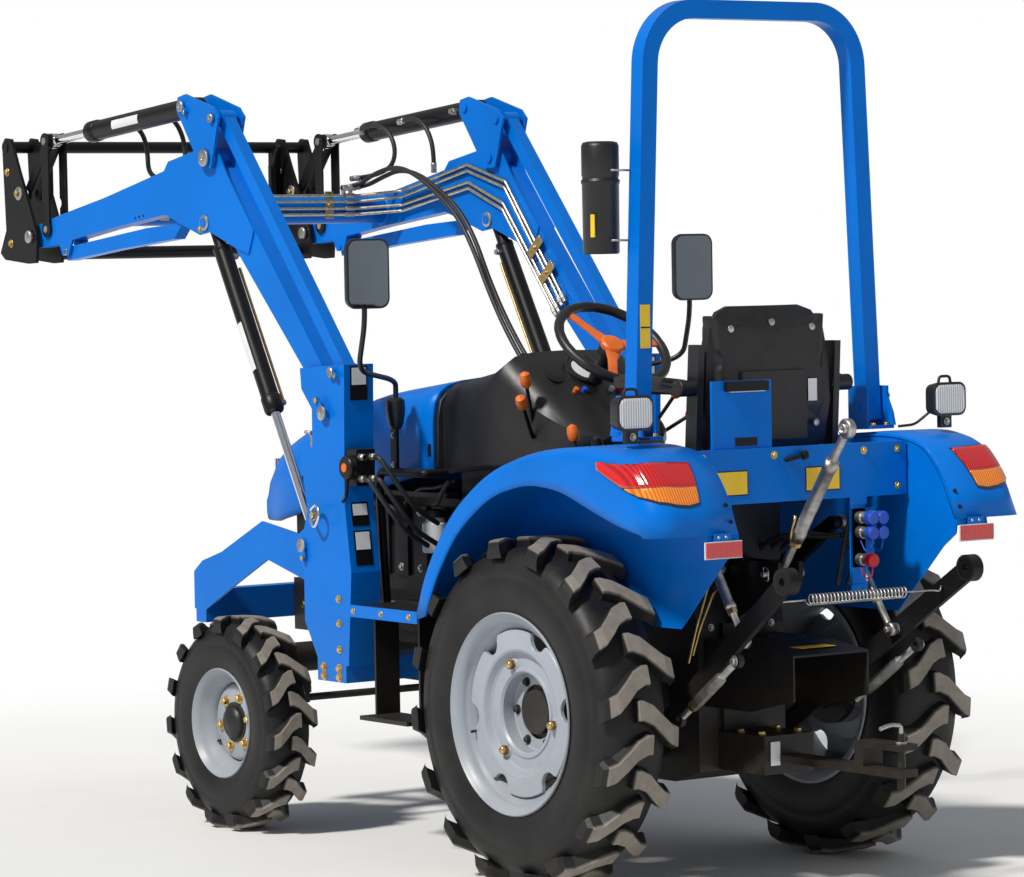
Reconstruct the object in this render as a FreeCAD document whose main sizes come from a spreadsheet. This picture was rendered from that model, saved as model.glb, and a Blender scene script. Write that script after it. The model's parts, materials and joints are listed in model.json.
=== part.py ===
"""Compact utility tractor with a self-levelling front loader, as a parametric document.

Millimetres. +X is forward, +Y is the tractor's left, +Z is up, and z = 0 is the ground.
Side-view places are measured from the rear axle, and rear_axle_x moves the whole machine so
that the origin lies under the middle of its bounding box.
"""
import FreeCAD, Part
import math
import os
import Sketcher
from FreeCAD import Placement, Rotation, Vector

# --------------------------------------------------------------------------- driving sizes
SIZES = {
    # running gear
    "rear_axle_x": -979.5,
    "wheelbase": 1550.0,
    "drive_shaft_start": 762.0,
    "rear_tyre_radius": 475.0,
    "rear_tyre_half_width": 120.0,
    "rear_bead_radius": 254.0,
    "rear_flange_radius": 276.0,
    "rear_wheel_y": 510.0,
    "rear_disc_face": 73.0,
    "rear_disc_sheet": 10.0,
    "rear_hub_bore": 105.0,
    "front_tyre_radius": 320.0,
    "front_tyre_half_width": 82.0,
    "front_bead_radius": 152.0,
    "front_flange_radius": 166.0,
    "front_wheel_y": 507.0,
    "kingpin_y": 375.0,
    "front_beam_z": 500.0,
    "tie_rod_back": 150.0,
    "bead_gap": 0.5,
    # loader masts and linkage pivots
    "arm_y": 518.0,
    "arm_half": 26.0,
    "gusset": 5.0,
    "mast_half": 50.0,
    "mast_plate": 10.0,
    "boom_pivot_x": 949.0,
    "boom_pivot_z": 1263.0,
    "link_offset_x": -43.0,
    "link_offset_z": 117.0,
    "knee_x": 1590.0,
    "knee_z": 2011.0,
    "tilt_base_x": 1718.0,
    "tilt_base_z": 2170.0,
    "tip_x": 2670.0,
    "tip_z": 1790.0,
    "guide_base_x": 2597.0,
    "guide_base_z": 1813.0,
    "guide_top_x": 2598.0,
    "guide_top_z": 2093.0,
    "carrier_pin_x": 2741.0,
    "carrier_pin_z": 1930.0,
    "lift_top_x": 1629.0,
    "lift_top_z": 1818.0,
    "lift_foot_x": 1084.0,
    "lift_foot_z": 876.0,
    "loader_pin_radius": 15.0,
    "pin_gap": 0.5,
    "cylinder_neck_radius": 19.0,
    "lift_barrel_start": 88.0,
    "lift_barrel_radius": 27.0,
    "lift_barrel_length": 648.0,
    "lift_rod_radius": 14.0,
    "lift_rod_length": 615.0,
    "tilt_barrel_start": 40.0,
    "tilt_barrel_radius": 31.0,
    "tilt_barrel_length": 640.0,
    "tilt_rod_radius": 15.0,
    "tilt_rod_length": 500.0,
    "notch_along": 83.0,
    "notch_across": -29.0,
    "notch_radius": 17.5,
    "carrier_gap_half": 41.0,
    "carrier_plate": 10.0,
    "cross_tube_x": 2240.0,
    "cross_tube_z": 1862.0,
    "cross_tube_radius": 46.0,
    "pipe_radius": 5.0,
    "hose_radius": 7.5,
    # bodywork
    "hood_half_width": 285.0,
    "hood_front_x": 1785.0,
    "hood_rear_x": 822.0,
    "hood_sheet": 5.0,
    "cowl_half_width": 262.0,
    "fender_inner_y": 372.0,
    "fender_outer_y": 628.0,
    "fender_sheet": 5.0,
    "fender_lip": 62.0,
    "floor_z": 722.0,
    "steering_tilt": 40.0,
    "steering_x": 332.0,
    "steering_z": 1450.0,
    "steering_radius": 163.0,
    "steering_grip": 15.0,
    "spoke_half_width": 14.0,
    "seat_z": 1160.0,
    "seat_half_width": 215.0,
    # roll bar
    "rops_tube": 50.0,
    "rops_x": -305.0,
    "rops_pivot_z": 1270.0,
    "rops_foot_y": 400.0,
    "rops_top_y": 350.0,
    "rops_top_z": 2352.0,
    "rops_bend": 150.0,
    # three-point hitch
    "lower_link_x": -60.0,
    "lower_link_z": 340.0,
    "link_ball_x": -813.0,
    "link_ball_z": 858.0,
    "link_ball_y": 312.0,
    "rockshaft_x": -100.0,
    "rockshaft_z": 800.0,
    "lift_arm_x": -370.0,
    "lift_arm_z": 965.0,
    "lift_link_x": -559.0,
    "lift_link_z": 683.0,
    "top_link_x": -405.0,
    "top_link_z": 840.0,
    "top_ball_x": -690.0,
    "top_ball_z": 1236.0,
    "drawbar_z": 360.0,
    "stay_base_x": -340.0,
    "stay_base_z": 463.0,
    "stay_end_x": -601.0,
    "stay_end_z": 640.0,
}

doc = FreeCAD.newDocument("tractor_with_loader")
sheet = doc.addObject("Spreadsheet::Sheet", "dims")
for row, (alias, value) in enumerate(SIZES.items(), start=1):
    sheet.set(f"A{row}", alias)
    sheet.set(f"B{row}", repr(value))
    sheet.setAlias(f"B{row}", alias)
doc.recompute()


# --------------------------------------------------------------------------- sizes as expressions
class Size:
    """A number together with the sheet expression that gives it."""

    def __init__(self, value, text):
        self.value = value
        self.text = text

    def __add__(self, other):
        other = sized(other)
        return Size(self.value + other.value, f"({self.text} + {other.text})")

    __radd__ = __add__

    def __sub__(self, other):
        other = sized(other)
        return Size(self.value - other.value, f"({self.text} - {other.text})")

    def __rsub__(self, other):
        return sized(other) - self

    def __mul__(self, other):
        other = sized(other)
        return Size(self.value * other.value, f"({self.text} * {other.text})")

    __rmul__ = __mul__

    def __truediv__(self, other):
        other = sized(other)
        return Size(self.value / other.value, f"({self.text} / {other.text})")

    def __neg__(self):
        return Size(-self.value, f"(0 - {self.text})")


def sized(number):
    return number if isinstance(number, Size) else Size(float(number), f"({float(number)!r})")


def length_of(run, rise):
    return Size(math.hypot(run.value, rise.value), f"sqrt({run.text}^2 + {rise.text}^2)")


def angle_of(run, rise):
    """Angle above +X, in degrees, of a side-view run and rise."""
    return Size(math.degrees(math.atan2(rise.value, run.value)), f"atan2({rise.text}; {run.text})")


def bind(thing, name, size):
    thing.setExpression(name, sized(size).text)


class Dimensions:
    """Each sheet cell as an attribute."""

    def __init__(self, sizes):
        for alias_name, number in sizes.items():
            setattr(self, alias_name, Size(number, f"dims.{alias_name}"))


d = Dimensions(SIZES)
LEFT, RIGHT = 1, -1
SIDES = {"left": LEFT, "right": RIGHT}

# side-view pivots, as (x, z)
BOOM_PIVOT = (d.boom_pivot_x, d.boom_pivot_z)
LINK_PIVOT = (d.boom_pivot_x + d.link_offset_x, d.boom_pivot_z + d.link_offset_z)
KNEE = (d.knee_x, d.knee_z)
KNEE_LINK = (d.knee_x + d.link_offset_x, d.knee_z + d.link_offset_z)
TILT_BASE = (d.tilt_base_x, d.tilt_base_z)
TIP = (d.tip_x, d.tip_z)
GUIDE_BASE = (d.guide_base_x, d.guide_base_z)
GUIDE_TOP = (d.guide_top_x, d.guide_top_z)
CARRIER_PIN = (d.carrier_pin_x, d.carrier_pin_z)
LIFT_TOP = (d.lift_top_x, d.lift_top_z)
LIFT_FOOT = (d.lift_foot_x, d.lift_foot_z)
STAND_PIN = (2483, 1740)
LOWER_LINK = (d.lower_link_x, d.lower_link_z)
LINK_BALL = (d.link_ball_x, d.link_ball_z)
ROCKSHAFT = (d.rockshaft_x, d.rockshaft_z)
LIFT_ARM = (d.lift_arm_x, d.lift_arm_z)
LIFT_LINK = (d.lift_link_x, d.lift_link_z)
TOP_LINK = (d.top_link_x, d.top_link_z)
TOP_BALL = (d.top_ball_x, d.top_ball_z)
STAY_BASE = (d.stay_base_x, d.stay_base_z)
STAY_END = (d.stay_end_x, d.stay_end_z)

# --------------------------------------------------------------------------- feature helpers
sub_parts = []


def new_part(label):
    """A body in the rear axle's frame."""
    body = doc.addObject("PartDesign::Body", label)
    body.Label = label
    bind(body, "Placement.Base.x", d.rear_axle_x)
    sub_parts.append(body)
    return body


def aimed_part(label, start, end):
    """A body whose X axis runs from one side-view pivot to another, and their distance."""
    body = new_part(label)
    run = end[0] - start[0]
    rise = end[1] - start[1]
    body.Placement = Placement(Vector(), Rotation(Vector(0, -1, 0), angle_of(run, rise).value))
    bind(body, "Placement.Base.x", d.rear_axle_x + start[0])
    bind(body, "Placement.Base.z", start[1])
    bind(body, "Placement.Rotation.Angle", angle_of(run, rise))
    return body, length_of(run, rise)


def origin_plane(body, role):
    return next(feature for feature in body.Origin.OriginFeatures if feature.Role == role)


def new_sketch(body, role, offset):
    sketch = body.newObject("Sketcher::SketchObject", f"{body.Label}_sketch")
    sketch.AttachmentSupport = (origin_plane(body, role), [""])
    sketch.MapMode = "FlatFace"
    bind(sketch, "AttachmentOffset.Base.z", offset)
    return sketch


def hold_point(sketch, geometry, vertex, x, y):
    for kind, size in (("DistanceX", sized(x)), ("DistanceY", sized(y))):
        index = sketch.addConstraint(Sketcher.Constraint(kind, -1, 1, geometry, vertex, size.value))
        sketch.setExpression(f"Constraints[{index}]", size.text)


def draw_polygon(sketch, points):
    count = len(points)
    first = sketch.GeometryCount
    corners = [Vector(sized(x).value, sized(y).value, 0) for x, y in points]
    for index in range(count):
        sketch.addGeometry(Part.LineSegment(corners[index], corners[(index + 1) % count]), False)
    for index in range(count):
        following = first + (index + 1) % count
        sketch.addConstraint(Sketcher.Constraint("Coincident", first + index, 2, following, 1))
    for index, (x, y) in enumerate(points):
        hold_point(sketch, first + index, 1, x, y)


def draw_circle(sketch, x, y, radius):
    centre = Vector(sized(x).value, sized(y).value, 0)
    ring = sketch.addGeometry(Part.Circle(centre, Vector(0, 0, 1), sized(radius).value), False)
    hold_point(sketch, ring, 3, x, y)
    index = sketch.addConstraint(Sketcher.Constraint("Radius", ring, sized(radius).value))
    sketch.setExpression(f"Constraints[{index}]", sized(radius).text)


def pad(body, sketch, length):
    feature = body.newObject("PartDesign::Pad", f"{body.Label}_pad")
    feature.Profile = sketch
    bind(feature, "Length", length)
    return feature


def pocket(body, sketch, length):
    """Cuts along the sketch's own normal."""
    feature = body.newObject("PartDesign::Pocket", f"{body.Label}_pocket")
    feature.Profile = sketch
    feature.Reversed = True
    bind(feature, "Length", length)
    return feature


def slab(body, points, low_y, high_y, make=pad):
    """A side-view outline, thick from low_y to high_y."""
    sketch = new_sketch(body, "XZ_Plane", -sized(high_y))
    draw_polygon(sketch, points)
    return make(body, sketch, sized(high_y) - low_y)


def disc(body, centre, radius, low_y, high_y, make=pad):
    """A cylinder across the machine."""
    sketch = new_sketch(body, "XZ_Plane", -sized(high_y))
    draw_circle(sketch, centre[0], centre[1], radius)
    return make(body, sketch, sized(high_y) - low_y)


def deck(body, points, low_z, high_z, make=pad):
    """A plan-view outline, thick from low_z to high_z."""
    sketch = new_sketch(body, "XY_Plane", low_z)
    draw_polygon(sketch, points)
    return make(body, sketch, sized(high_z) - low_z)


def post(body, centre, radius, low_z, high_z, make=pad):
    """An upright cylinder."""
    sketch = new_sketch(body, "XY_Plane", low_z)
    draw_circle(sketch, centre[0], centre[1], radius)
    return make(body, sketch, sized(high_z) - low_z)


def panel(body, points, low_x, high_x, make=pad):
    """A front-view outline of (y, z) points, thick from low_x to high_x."""
    sketch = new_sketch(body, "YZ_Plane", low_x)
    draw_polygon(sketch, points)
    return make(body, sketch, sized(high_x) - low_x)


def shaft(body, centre, radius, low_x, high_x, make=pad):
    """A cylinder along the machine at (y, z)."""
    sketch = new_sketch(body, "YZ_Plane", low_x)
    draw_circle(sketch, centre[0], centre[1], radius)
    return make(body, sketch, sized(high_x) - low_x)


def side_low(side, inner, outer):
    """The lower Y of a span between two distances from the middle, on one side."""
    return sized(inner) if side == LEFT else -sized(outer)


def side_high(side, inner, outer):
    return sized(outer) if side == LEFT else -sized(inner)


def side_slab(body, points, side, inner, outer, make=pad):
    return slab(body, points, side_low(side, inner, outer), side_high(side, inner, outer), make)


def side_disc(body, centre, radius, side, inner, outer, make=pad):
    return disc(body, centre, radius, side_low(side, inner, outer), side_high(side, inner, outer), make)


def side_deck(body, points, side, low_z, high_z, make=pad):
    return deck(body, [(x, sized(y) * side) for x, y in points], low_z, high_z, make)


def turned(body, points):
    """An outline of (y, radius) points turned about the body's Y axis."""
    sketch = new_sketch(body, "YZ_Plane", 0)
    draw_polygon(sketch, points)
    feature = body.newObject("PartDesign::Revolution", f"{body.Label}_revolution")
    feature.Profile = sketch
    feature.ReferenceAxis = (sketch, ["H_Axis"])
    feature.Angle = 360
    return feature


def rectangle(low_u, low_v, high_u, high_v):
    return [(low_u, low_v), (high_u, low_v), (high_u, high_v), (low_u, high_v)]


def rounded(body, base, radius, wanted):
    """A fillet on the edges of base that the test wanted picks."""
    doc.recompute()
    names = [f"Edge{i}" for i, edge in enumerate(base.Shape.Edges, start=1) if wanted(edge)]
    feature = body.newObject("PartDesign::Fillet", f"{body.Label}_fillet")
    feature.Base = (base, names)
    bind(feature, "Radius", radius)
    return feature


def along_y(edge):
    start, end = edge.Vertexes[0].Point, edge.Vertexes[-1].Point
    return abs(start.x - end.x) < 0.01 and abs(start.z - end.z) < 0.01 and start != end


def bent_path(points, bend=None):
    """Straight runs joined by tangent arcs, as edges. Without a bend, each arc takes 0.45 of
    its shorter run at each end."""
    corners = [Vector(*point) for point in points]
    edges = []
    start = corners[0]
    for before, corner, after in zip(corners, corners[1:], corners[2:]):
        inward = (corner - before).normalize()
        outward = (after - corner).normalize()
        half_turn = inward.getAngle(outward) / 2
        shorter = min((corner - before).Length, (after - corner).Length)
        radius = bend or 0.45 * shorter / math.tan(half_turn)
        arc_start = corner - inward * (radius * math.tan(half_turn))
        arc_end = corner + outward * (radius * math.tan(half_turn))
        arc_middle = corner + (outward - inward).normalize() * (radius / math.cos(half_turn) - radius)
        edges.append(Part.LineSegment(start, arc_start).toShape())
        edges.append(Part.Arc(arc_start, arc_middle, arc_end).toShape())
        start = arc_end
    edges.append(Part.LineSegment(start, corners[-1]).toShape())
    return edges


def swept(points, bend, section):
    """A section swept along bent_path(points, bend)."""
    return Part.Wire(bent_path(points, bend)).makePipeShell([Part.Wire(section)], True, True)


def round_tube(points, radius, bend=None):
    start = Vector(*points[0])
    ring = Part.Circle(start, Vector(*points[1]) - start, radius).toShape()
    return swept(points, bend, [ring])


def hose(points):
    return round_tube(points, SIZES["hose_radius"])


def round_bar(start, end, radius):
    run = Vector(*end) - Vector(*start)
    return Part.makeCylinder(radius, run.Length, Vector(*start), run)


def flat_bar(start, end, thickness, depth):
    """A rectangular bar between two points, its depth upright and its thickness level."""
    low, high = Vector(*start), Vector(*end)
    run = (high - low).normalize()
    level = run.cross(Vector(0, 0, 1)).normalize() * (thickness / 2)
    upright = level.cross(run).normalize() * (depth / 2)
    corners = [low + level + upright, low - level + upright,
               low - level - upright, low + level - upright]
    face = Part.Face(Part.makePolygon(corners + corners[:1]))
    return face.extrude(high - low)


def both_sides(make):
    """make(side) for the left and the right, as one list."""
    return [make(LEFT), make(RIGHT)]


def shaped_part(label, solids):
    """A sub-part of solids made with Part's own functions, in the rear axle's frame."""
    feature = doc.addObject("Part::Feature", label)
    feature.Label = label
    feature.Shape = solids[0] if len(solids) == 1 else Part.makeCompound(solids)
    bind(feature, "Placement.Base.x", d.rear_axle_x)
    sub_parts.append(feature)
    return feature


def joined(solids):
    whole = solids[0].fuse(solids[1:])
    return whole.removeSplitter()


def shrunk(points, centre, share):
    """The outline drawn in towards a point by a share of its size."""
    keep = sized(1) - share
    return [(centre[0] + (sized(x) - centre[0]) * keep,
             centre[1] + (sized(z) - centre[1]) * keep) for x, z in points]


# --------------------------------------------------------------------------- wheels and axles
def make_tyre(label, x, side, wheel_y, radius, half_width, bead_radius):
    body = new_part(label)
    bind(body, "Placement.Base.x", d.rear_axle_x + x)
    bind(body, "Placement.Base.y", wheel_y * side)
    bind(body, "Placement.Base.z", radius)
    bead = bead_radius + d.bead_gap
    wall = half_width * 0.16
    rise = radius - bead
    outline = [(half_width * 0.78, bead), (half_width, bead + rise * 0.42),
               (half_width * 0.97, radius - rise * 0.2), (half_width * 0.84, radius)]
    hollow = [(half_width * 0.78 - wall, bead), (half_width - wall, bead + rise * 0.42),
              (half_width * 0.94 - wall, radius - rise * 0.3)]
    outer = outline + [(-y, r) for y, r in reversed(outline)]
    inner = [(-y, r) for y, r in hollow] + list(reversed(hollow))
    turned(body, outer + inner)


def make_rear_wheel(side_name, side):
    body = new_part(f"rear_wheel_{side_name}")
    bind(body, "Placement.Base.y", d.rear_wheel_y * side)
    bind(body, "Placement.Base.z", d.rear_tyre_radius)
    edge = d.rear_tyre_half_width - 10
    rim = d.rear_bead_radius
    flange = d.rear_flange_radius
    face, bore = d.rear_disc_face, d.rear_hub_bore
    back = face - d.rear_disc_sheet
    outline = [(edge, flange), (edge - 6, flange), (edge - 6, rim), (6 - edge, rim),
               (6 - edge, flange), (-edge, flange), (-edge, rim - 6), (back, rim - 6),
               (back, bore + 65), (back - 20, bore + 52), (back - 20, bore + 8),
               (sized(2), bore + 8), (sized(2), 70), (12, 70), (12, bore), (face - 20, bore),
               (face - 20, bore + 50), (face, bore + 64), (face, rim - 6), (edge, rim - 6)]
    wheel = turned(body, [(sized(y) * side, r) for y, r in outline])
    hole = disc(body, (sized(0), rim - 45), 22, 10 - edge, edge - 10, pocket)
    holes = body.newObject("PartDesign::PolarPattern", f"{body.Label}_pattern")
    holes.Originals = [hole]
    holes.Axis = (hole.Profile[0], ["N_Axis"])
    holes.Angle = 360
    holes.Occurrences = 6
    body.Tip = holes


def make_front_wheel(side_name, side):
    body = new_part(f"front_wheel_{side_name}")
    bind(body, "Placement.Base.x", d.rear_axle_x + d.wheelbase)
    bind(body, "Placement.Base.y", d.front_wheel_y * side)
    bind(body, "Placement.Base.z", d.front_tyre_radius)
    edge = d.front_tyre_half_width - 8
    rim = d.front_bead_radius
    flange = d.front_flange_radius
    outline = [(edge, flange), (edge - 6, flange), (edge - 6, rim), (6 - edge, rim),
               (6 - edge, flange), (-edge, flange), (-edge, rim - 6), (8, rim - 6),
               (23, 95), (23, 0), (62, 0), (62, 34), (34, 40), (34, 95), (16, rim - 6),
               (edge, rim - 6)]
    turned(body, [(sized(y) * side, r) for y, r in outline])


def make_knuckle(side_name, side):
    body = new_part(f"knuckle_{side_name}")
    bind(body, "Placement.Base.x", d.rear_axle_x + d.wheelbase)
    kingpin_y = d.kingpin_y * side
    post(body, (0, kingpin_y), 50, 235, 430)
    post(body, (0, kingpin_y), 20, 430, 556)
    case_low, case_high = d.kingpin_y + 40, d.front_wheel_y - 20
    gear_case = (0, d.front_tyre_radius)
    side_disc(body, gear_case, 108, side, case_low, case_high)
    side_disc(body, gear_case, 60, side, case_high, d.front_wheel_y + 22)
    back = -d.tie_rod_back
    deck(body, rectangle(back, kingpin_y - 18, 0, kingpin_y + 18), 410, 430)
    post(body, (back, kingpin_y), 22, 410, 430)
    post(body, (back, kingpin_y), 8.5, 400, 440, pocket)


def make_tie_rod():
    body = new_part("tie_rod")
    bind(body, "Placement.Base.x", d.rear_axle_x + d.wheelbase - d.tie_rod_back)
    disc(body, (0, 394), 11, -d.kingpin_y, d.kingpin_y)
    for side in SIDES.values():
        post(body, (0, d.kingpin_y * side), 17, 380, 409)
        post(body, (0, d.kingpin_y * side), 8, 409, 438)


def make_front_axle_beam():
    body = new_part("front_axle_beam")
    bind(body, "Placement.Base.x", d.rear_axle_x + d.wheelbase)
    disc(body, (0, d.front_beam_z), 45, -d.kingpin_y, d.kingpin_y)
    disc(body, (0, d.front_beam_z), 88, -85, 85)
    for side in SIDES.values():
        post(body, (0, d.kingpin_y * side), 42, 438, 562)
    shaft(body, (0, 450), 28, d.drive_shaft_start - d.wheelbase, -60)
    panel(body, rectangle(-100, 480, 100, 557), -150, -92)
    panel(body, rectangle(-100, 480, 100, 557), 92, 150)
    shaft(body, (0, d.front_beam_z), 20, -150, 150)
    for side in SIDES.values():
        post(body, (0, d.kingpin_y * side), 20.5, 430, 570, pocket)


# --------------------------------------------------------------------------- drive line and frame
def make_transmission_housing():
    body = new_part("transmission_housing")
    outline = [(-230, 300), (-120, 265), (200, 265), (480, 330), (760, 360), (760, 690),
               (120, 690), (60, 862), (-190, 862), (-230, 690)]
    slab(body, outline, -150, 150)
    axle = (0, d.rear_tyre_radius)
    disc(body, axle, 100, -330, 330)
    disc(body, axle, 70, -470, 470)
    disc(body, axle, 45, -528, 528)
    for side in SIDES.values():
        side_disc(body, axle, 112, side, 488, 510)
        side_disc(body, axle, 60, side, 505, 530)
        disc(body, LOWER_LINK, 14, side_low(side, 150, 245), side_high(side, 150, 245))


def make_engine_block():
    body = new_part("engine_block")
    slab(body, rectangle(765, 575, 1330, 721), -116, 116)
    slab(body, rectangle(825, 721, 1330, 1000), -185, 185)


def make_front_frame():
    body = new_part("front_frame")
    for side in SIDES.values():
        side_slab(body, rectangle(761, 560, 1800, 720), side, 122, 150)
    panel(body, rectangle(-150, 560, 150, 720), 1780, 1800)
    panel(body, rectangle(-150, 560, 150, 580), 1660, 1800)
    slab(body, rectangle(1372, 735, 1690, 1020), -205, 205)
    slab(body, rectangle(1372, 700, 1690, 735), -160, 160)


# --------------------------------------------------------------------------- loader
def make_mast(side_name, side):
    body = new_part(f"mast_{side_name}")
    outline = [(862, 1403), (1086, 1390), (1080, 1330), (1026, 1273), (1027, 1162), (1094, 1162),
               (1060, 975), (1080, 925), (1122, 900), (1122, 852), (1084, 800), (1084, 657),
               (1020, 556), (866, 556), (844, 809), (872, 1004)]
    outer, inner = d.arm_y + d.mast_half, d.arm_y - d.mast_half
    sheet_width = d.mast_plate
    side_slab(body, outline, side, inner, inner + sheet_width)
    side_slab(body, outline, side, outer - sheet_width, outer)
    side_slab(body, [(862, 1403), (852, 1403), (862, 1004), (834, 809), (856, 540), (1020, 540),
                     (1020, 556), (866, 556), (844, 809), (872, 1004)], side, inner, outer)
    side_slab(body, rectangle(870, 490, 1020, 556), side, inner, outer)
    if side == RIGHT:
        # the block of the loader's valve, where the boom's hoses end
        side_slab(body, rectangle(945, 1045, 1005, 1145), side, inner - 14, inner)
    side_disc(body, BOOM_PIVOT, d.loader_pin_radius, side, inner - 14, outer + 14)
    side_disc(body, LINK_PIVOT, 11, side, inner - 10, outer + 10)
    side_disc(body, LIFT_FOOT, 18, side, inner - 6, d.arm_y - 15)
    side_disc(body, LIFT_FOOT, 18, side, d.arm_y + 15, outer + 6)


def make_loader_crossbeam():
    body = new_part("loader_crossbeam")
    inner = d.arm_y - d.mast_half
    slab(body, rectangle(870, 490, 1020, 556), -inner, inner)


def make_front_guard():
    body = new_part("front_guard")
    arch = [(1100, 840), (1250, 893), (1472, 924), (1706, 821), (1819, 789), (1869, 754),
            (1869, 640), (1800, 640), (1655, 713), (1444, 811), (1250, 764), (1088, 700), (1088, 790)]
    for side in SIDES.values():
        side_slab(body, arch, side, 460, 468)
    panel(body, rectangle(-468, 600, 468, 700), 1802, 1860)


def make_boom():
    body = new_part("boom")
    tube = [(985, 1240), (1105, 1389), (1423, 1698), (1590, 1864), (1830, 1852), (2235, 1806),
            (2563, 1761), (d.tip_x, d.tip_z - 36), (d.tip_x, d.tip_z + 36), (2515, 1858), (2230, 1907),
            (1863, 1981), (1640, 2020), (1530, 1975), (1355, 1791), (1008, 1402), (912, 1280),
            (949, 1221)]
    plate = [(1838, 2007), (1894, 1947), (1882, 1853), (1660, 1782), (1600, 1790), (1440, 1735),
             (1386, 1722), (1355, 1791), (1500, 1960), (1560, 2046), (1620, 2046)]
    half = d.arm_half
    for side in SIDES.values():
        side_slab(body, tube, side, d.arm_y - half, d.arm_y + half)
        side_slab(body, plate, side, d.arm_y - half - d.gusset, d.arm_y - half)
        side_slab(body, plate, side, d.arm_y + half, d.arm_y + half + d.gusset)
        side_disc(body, TIP, 36, side, d.arm_y - half, d.arm_y + half)
        side_disc(body, BOOM_PIVOT, 42, side, d.arm_y - 38, d.arm_y + 38)
        side_disc(body, KNEE, 26, side, d.arm_y - 38, d.arm_y + 38)
        side_disc(body, LIFT_TOP, 15, side, d.arm_y - 40, d.arm_y + 40)
        for low in (22, -30):
            side_slab(body, [(2440, 1778), (2523, 1766), (2503, 1728), (2464, 1728)], side,
                      d.arm_y + low, d.arm_y + low + 8)
    disc(body, (d.cross_tube_x, d.cross_tube_z), d.cross_tube_radius, half - d.arm_y, d.arm_y - half)
    hole = d.loader_pin_radius + d.pin_gap
    reach = d.arm_y + 60
    for centre, radius in ((BOOM_PIVOT, hole), (KNEE, hole), (TIP, hole),
                           (GUIDE_BASE, 11 + d.pin_gap), (STAND_PIN, 8 + d.pin_gap)):
        disc(body, centre, radius, -reach, reach, pocket)


def make_bellcranks():
    body = new_part("bellcranks")
    outline = [(1560, 1980), (1618, 1980), (1752, 2158), (1745, 2198), (1700, 2206), (1540, 2160),
               (1512, 2132)]
    for side in SIDES.values():
        side_slab(body, outline, side, d.arm_y - 48, d.arm_y - 40)
        side_slab(body, outline, side, d.arm_y + 40, d.arm_y + 48)
        for centre, radius in ((KNEE, 15), (KNEE_LINK, 11), (TILT_BASE, 12)):
            side_disc(body, centre, radius, side, d.arm_y - 54, d.arm_y + 54)


def make_level_links():
    body, length = aimed_part("level_links", LINK_PIVOT, KNEE_LINK)
    for side in SIDES.values():
        side_slab(body, rectangle(0, -20, length, 20), side, d.arm_y - 19, d.arm_y + 19)
        for x in (0, length):
            side_disc(body, (x, 0), 24, side, d.arm_y - 24, d.arm_y + 24)
    for x in (0, length):
        disc(body, (x, 0), 11 + d.pin_gap, -d.arm_y - 60, d.arm_y + 60, pocket)


def make_pins(label, centre, radius, inner_reach, outer_reach):
    """One pin in each side's linkage, split where inner_reach leaves its middle open."""
    body = new_part(label)
    for side in SIDES.values():
        if inner_reach == 0:
            side_disc(body, centre, radius, side, d.arm_y - outer_reach, d.arm_y + outer_reach)
        else:
            side_disc(body, centre, radius, side, d.arm_y - outer_reach, d.arm_y - inner_reach)
            side_disc(body, centre, radius, side, d.arm_y + inner_reach, d.arm_y + outer_reach)


def make_tool_carrier():
    body = new_part("tool_carrier")
    outline = [(2630, 1790), (2640, 1706), (2690, 1704), (2843, 1718), (2874, 1740), (2832, 1813),
               (2848, 2090), (2828, 2110), (2790, 2106), (2738, 2000), (2700, 1930), (2648, 1830)]
    for side in SIDES.values():
        gap, sheet_width = d.carrier_gap_half, d.carrier_plate
        side_slab(body, outline, side, d.arm_y - gap - sheet_width, d.arm_y - gap)
        side_slab(body, outline, side, d.arm_y + gap, d.arm_y + gap + sheet_width)
        side_disc(body, CARRIER_PIN, 12, side, d.arm_y - gap, d.arm_y - 26)
        side_disc(body, CARRIER_PIN, 12, side, d.arm_y + 26, d.arm_y + gap)
        side_slab(body, rectangle(2805, 1830, 2830, 2075), side, d.arm_y - gap - 44, d.arm_y - gap - 10)
    outer = d.arm_y + d.carrier_gap_half + d.carrier_plate
    disc(body, (2826, 2080), 19, -outer, outer)
    inner = d.arm_y - d.carrier_gap_half - d.carrier_plate
    disc(body, (2700, 1735), 20, -inner, inner)
    disc(body, TIP, d.loader_pin_radius + d.pin_gap, -outer - 10, outer + 10, pocket)


def make_guide_links():
    body, length = aimed_part("guide_links", GUIDE_BASE, GUIDE_TOP)
    for side in SIDES.values():
        for low, high in ((-35, -29), (29, 35)):
            side_slab(body, rectangle(0, -22, length, 22), side, d.arm_y + low, d.arm_y + high)
            side_disc(body, (0, 0), 26, side, d.arm_y + low, d.arm_y + high)
            side_disc(body, (length, 0), 26, side, d.arm_y + low, d.arm_y + high)
    disc(body, (0, 0), 11.5, -d.arm_y - 60, d.arm_y + 60, pocket)
    disc(body, (length, 0), 12.5, -d.arm_y - 60, d.arm_y + 60, pocket)
    # the front edge is scooped out where the carrier's pin boss comes nearest
    disc(body, (d.notch_along, d.notch_across), d.notch_radius, -d.arm_y - 60, d.arm_y + 60,
         pocket)


def make_coupler_links():
    body, length = aimed_part("coupler_links", GUIDE_TOP, CARRIER_PIN)
    for side in SIDES.values():
        for low, high in ((-24, -16), (16, 24)):
            side_slab(body, rectangle(0, -16, length, 16), side, d.arm_y + low, d.arm_y + high)
            side_disc(body, (0, 0), 24, side, d.arm_y + low, d.arm_y + high)
            side_disc(body, (length, 0), 24, side, d.arm_y + low, d.arm_y + high)
    for x in (0, length):
        disc(body, (x, 0), 12.5, -d.arm_y - 60, d.arm_y + 60, pocket)


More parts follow.
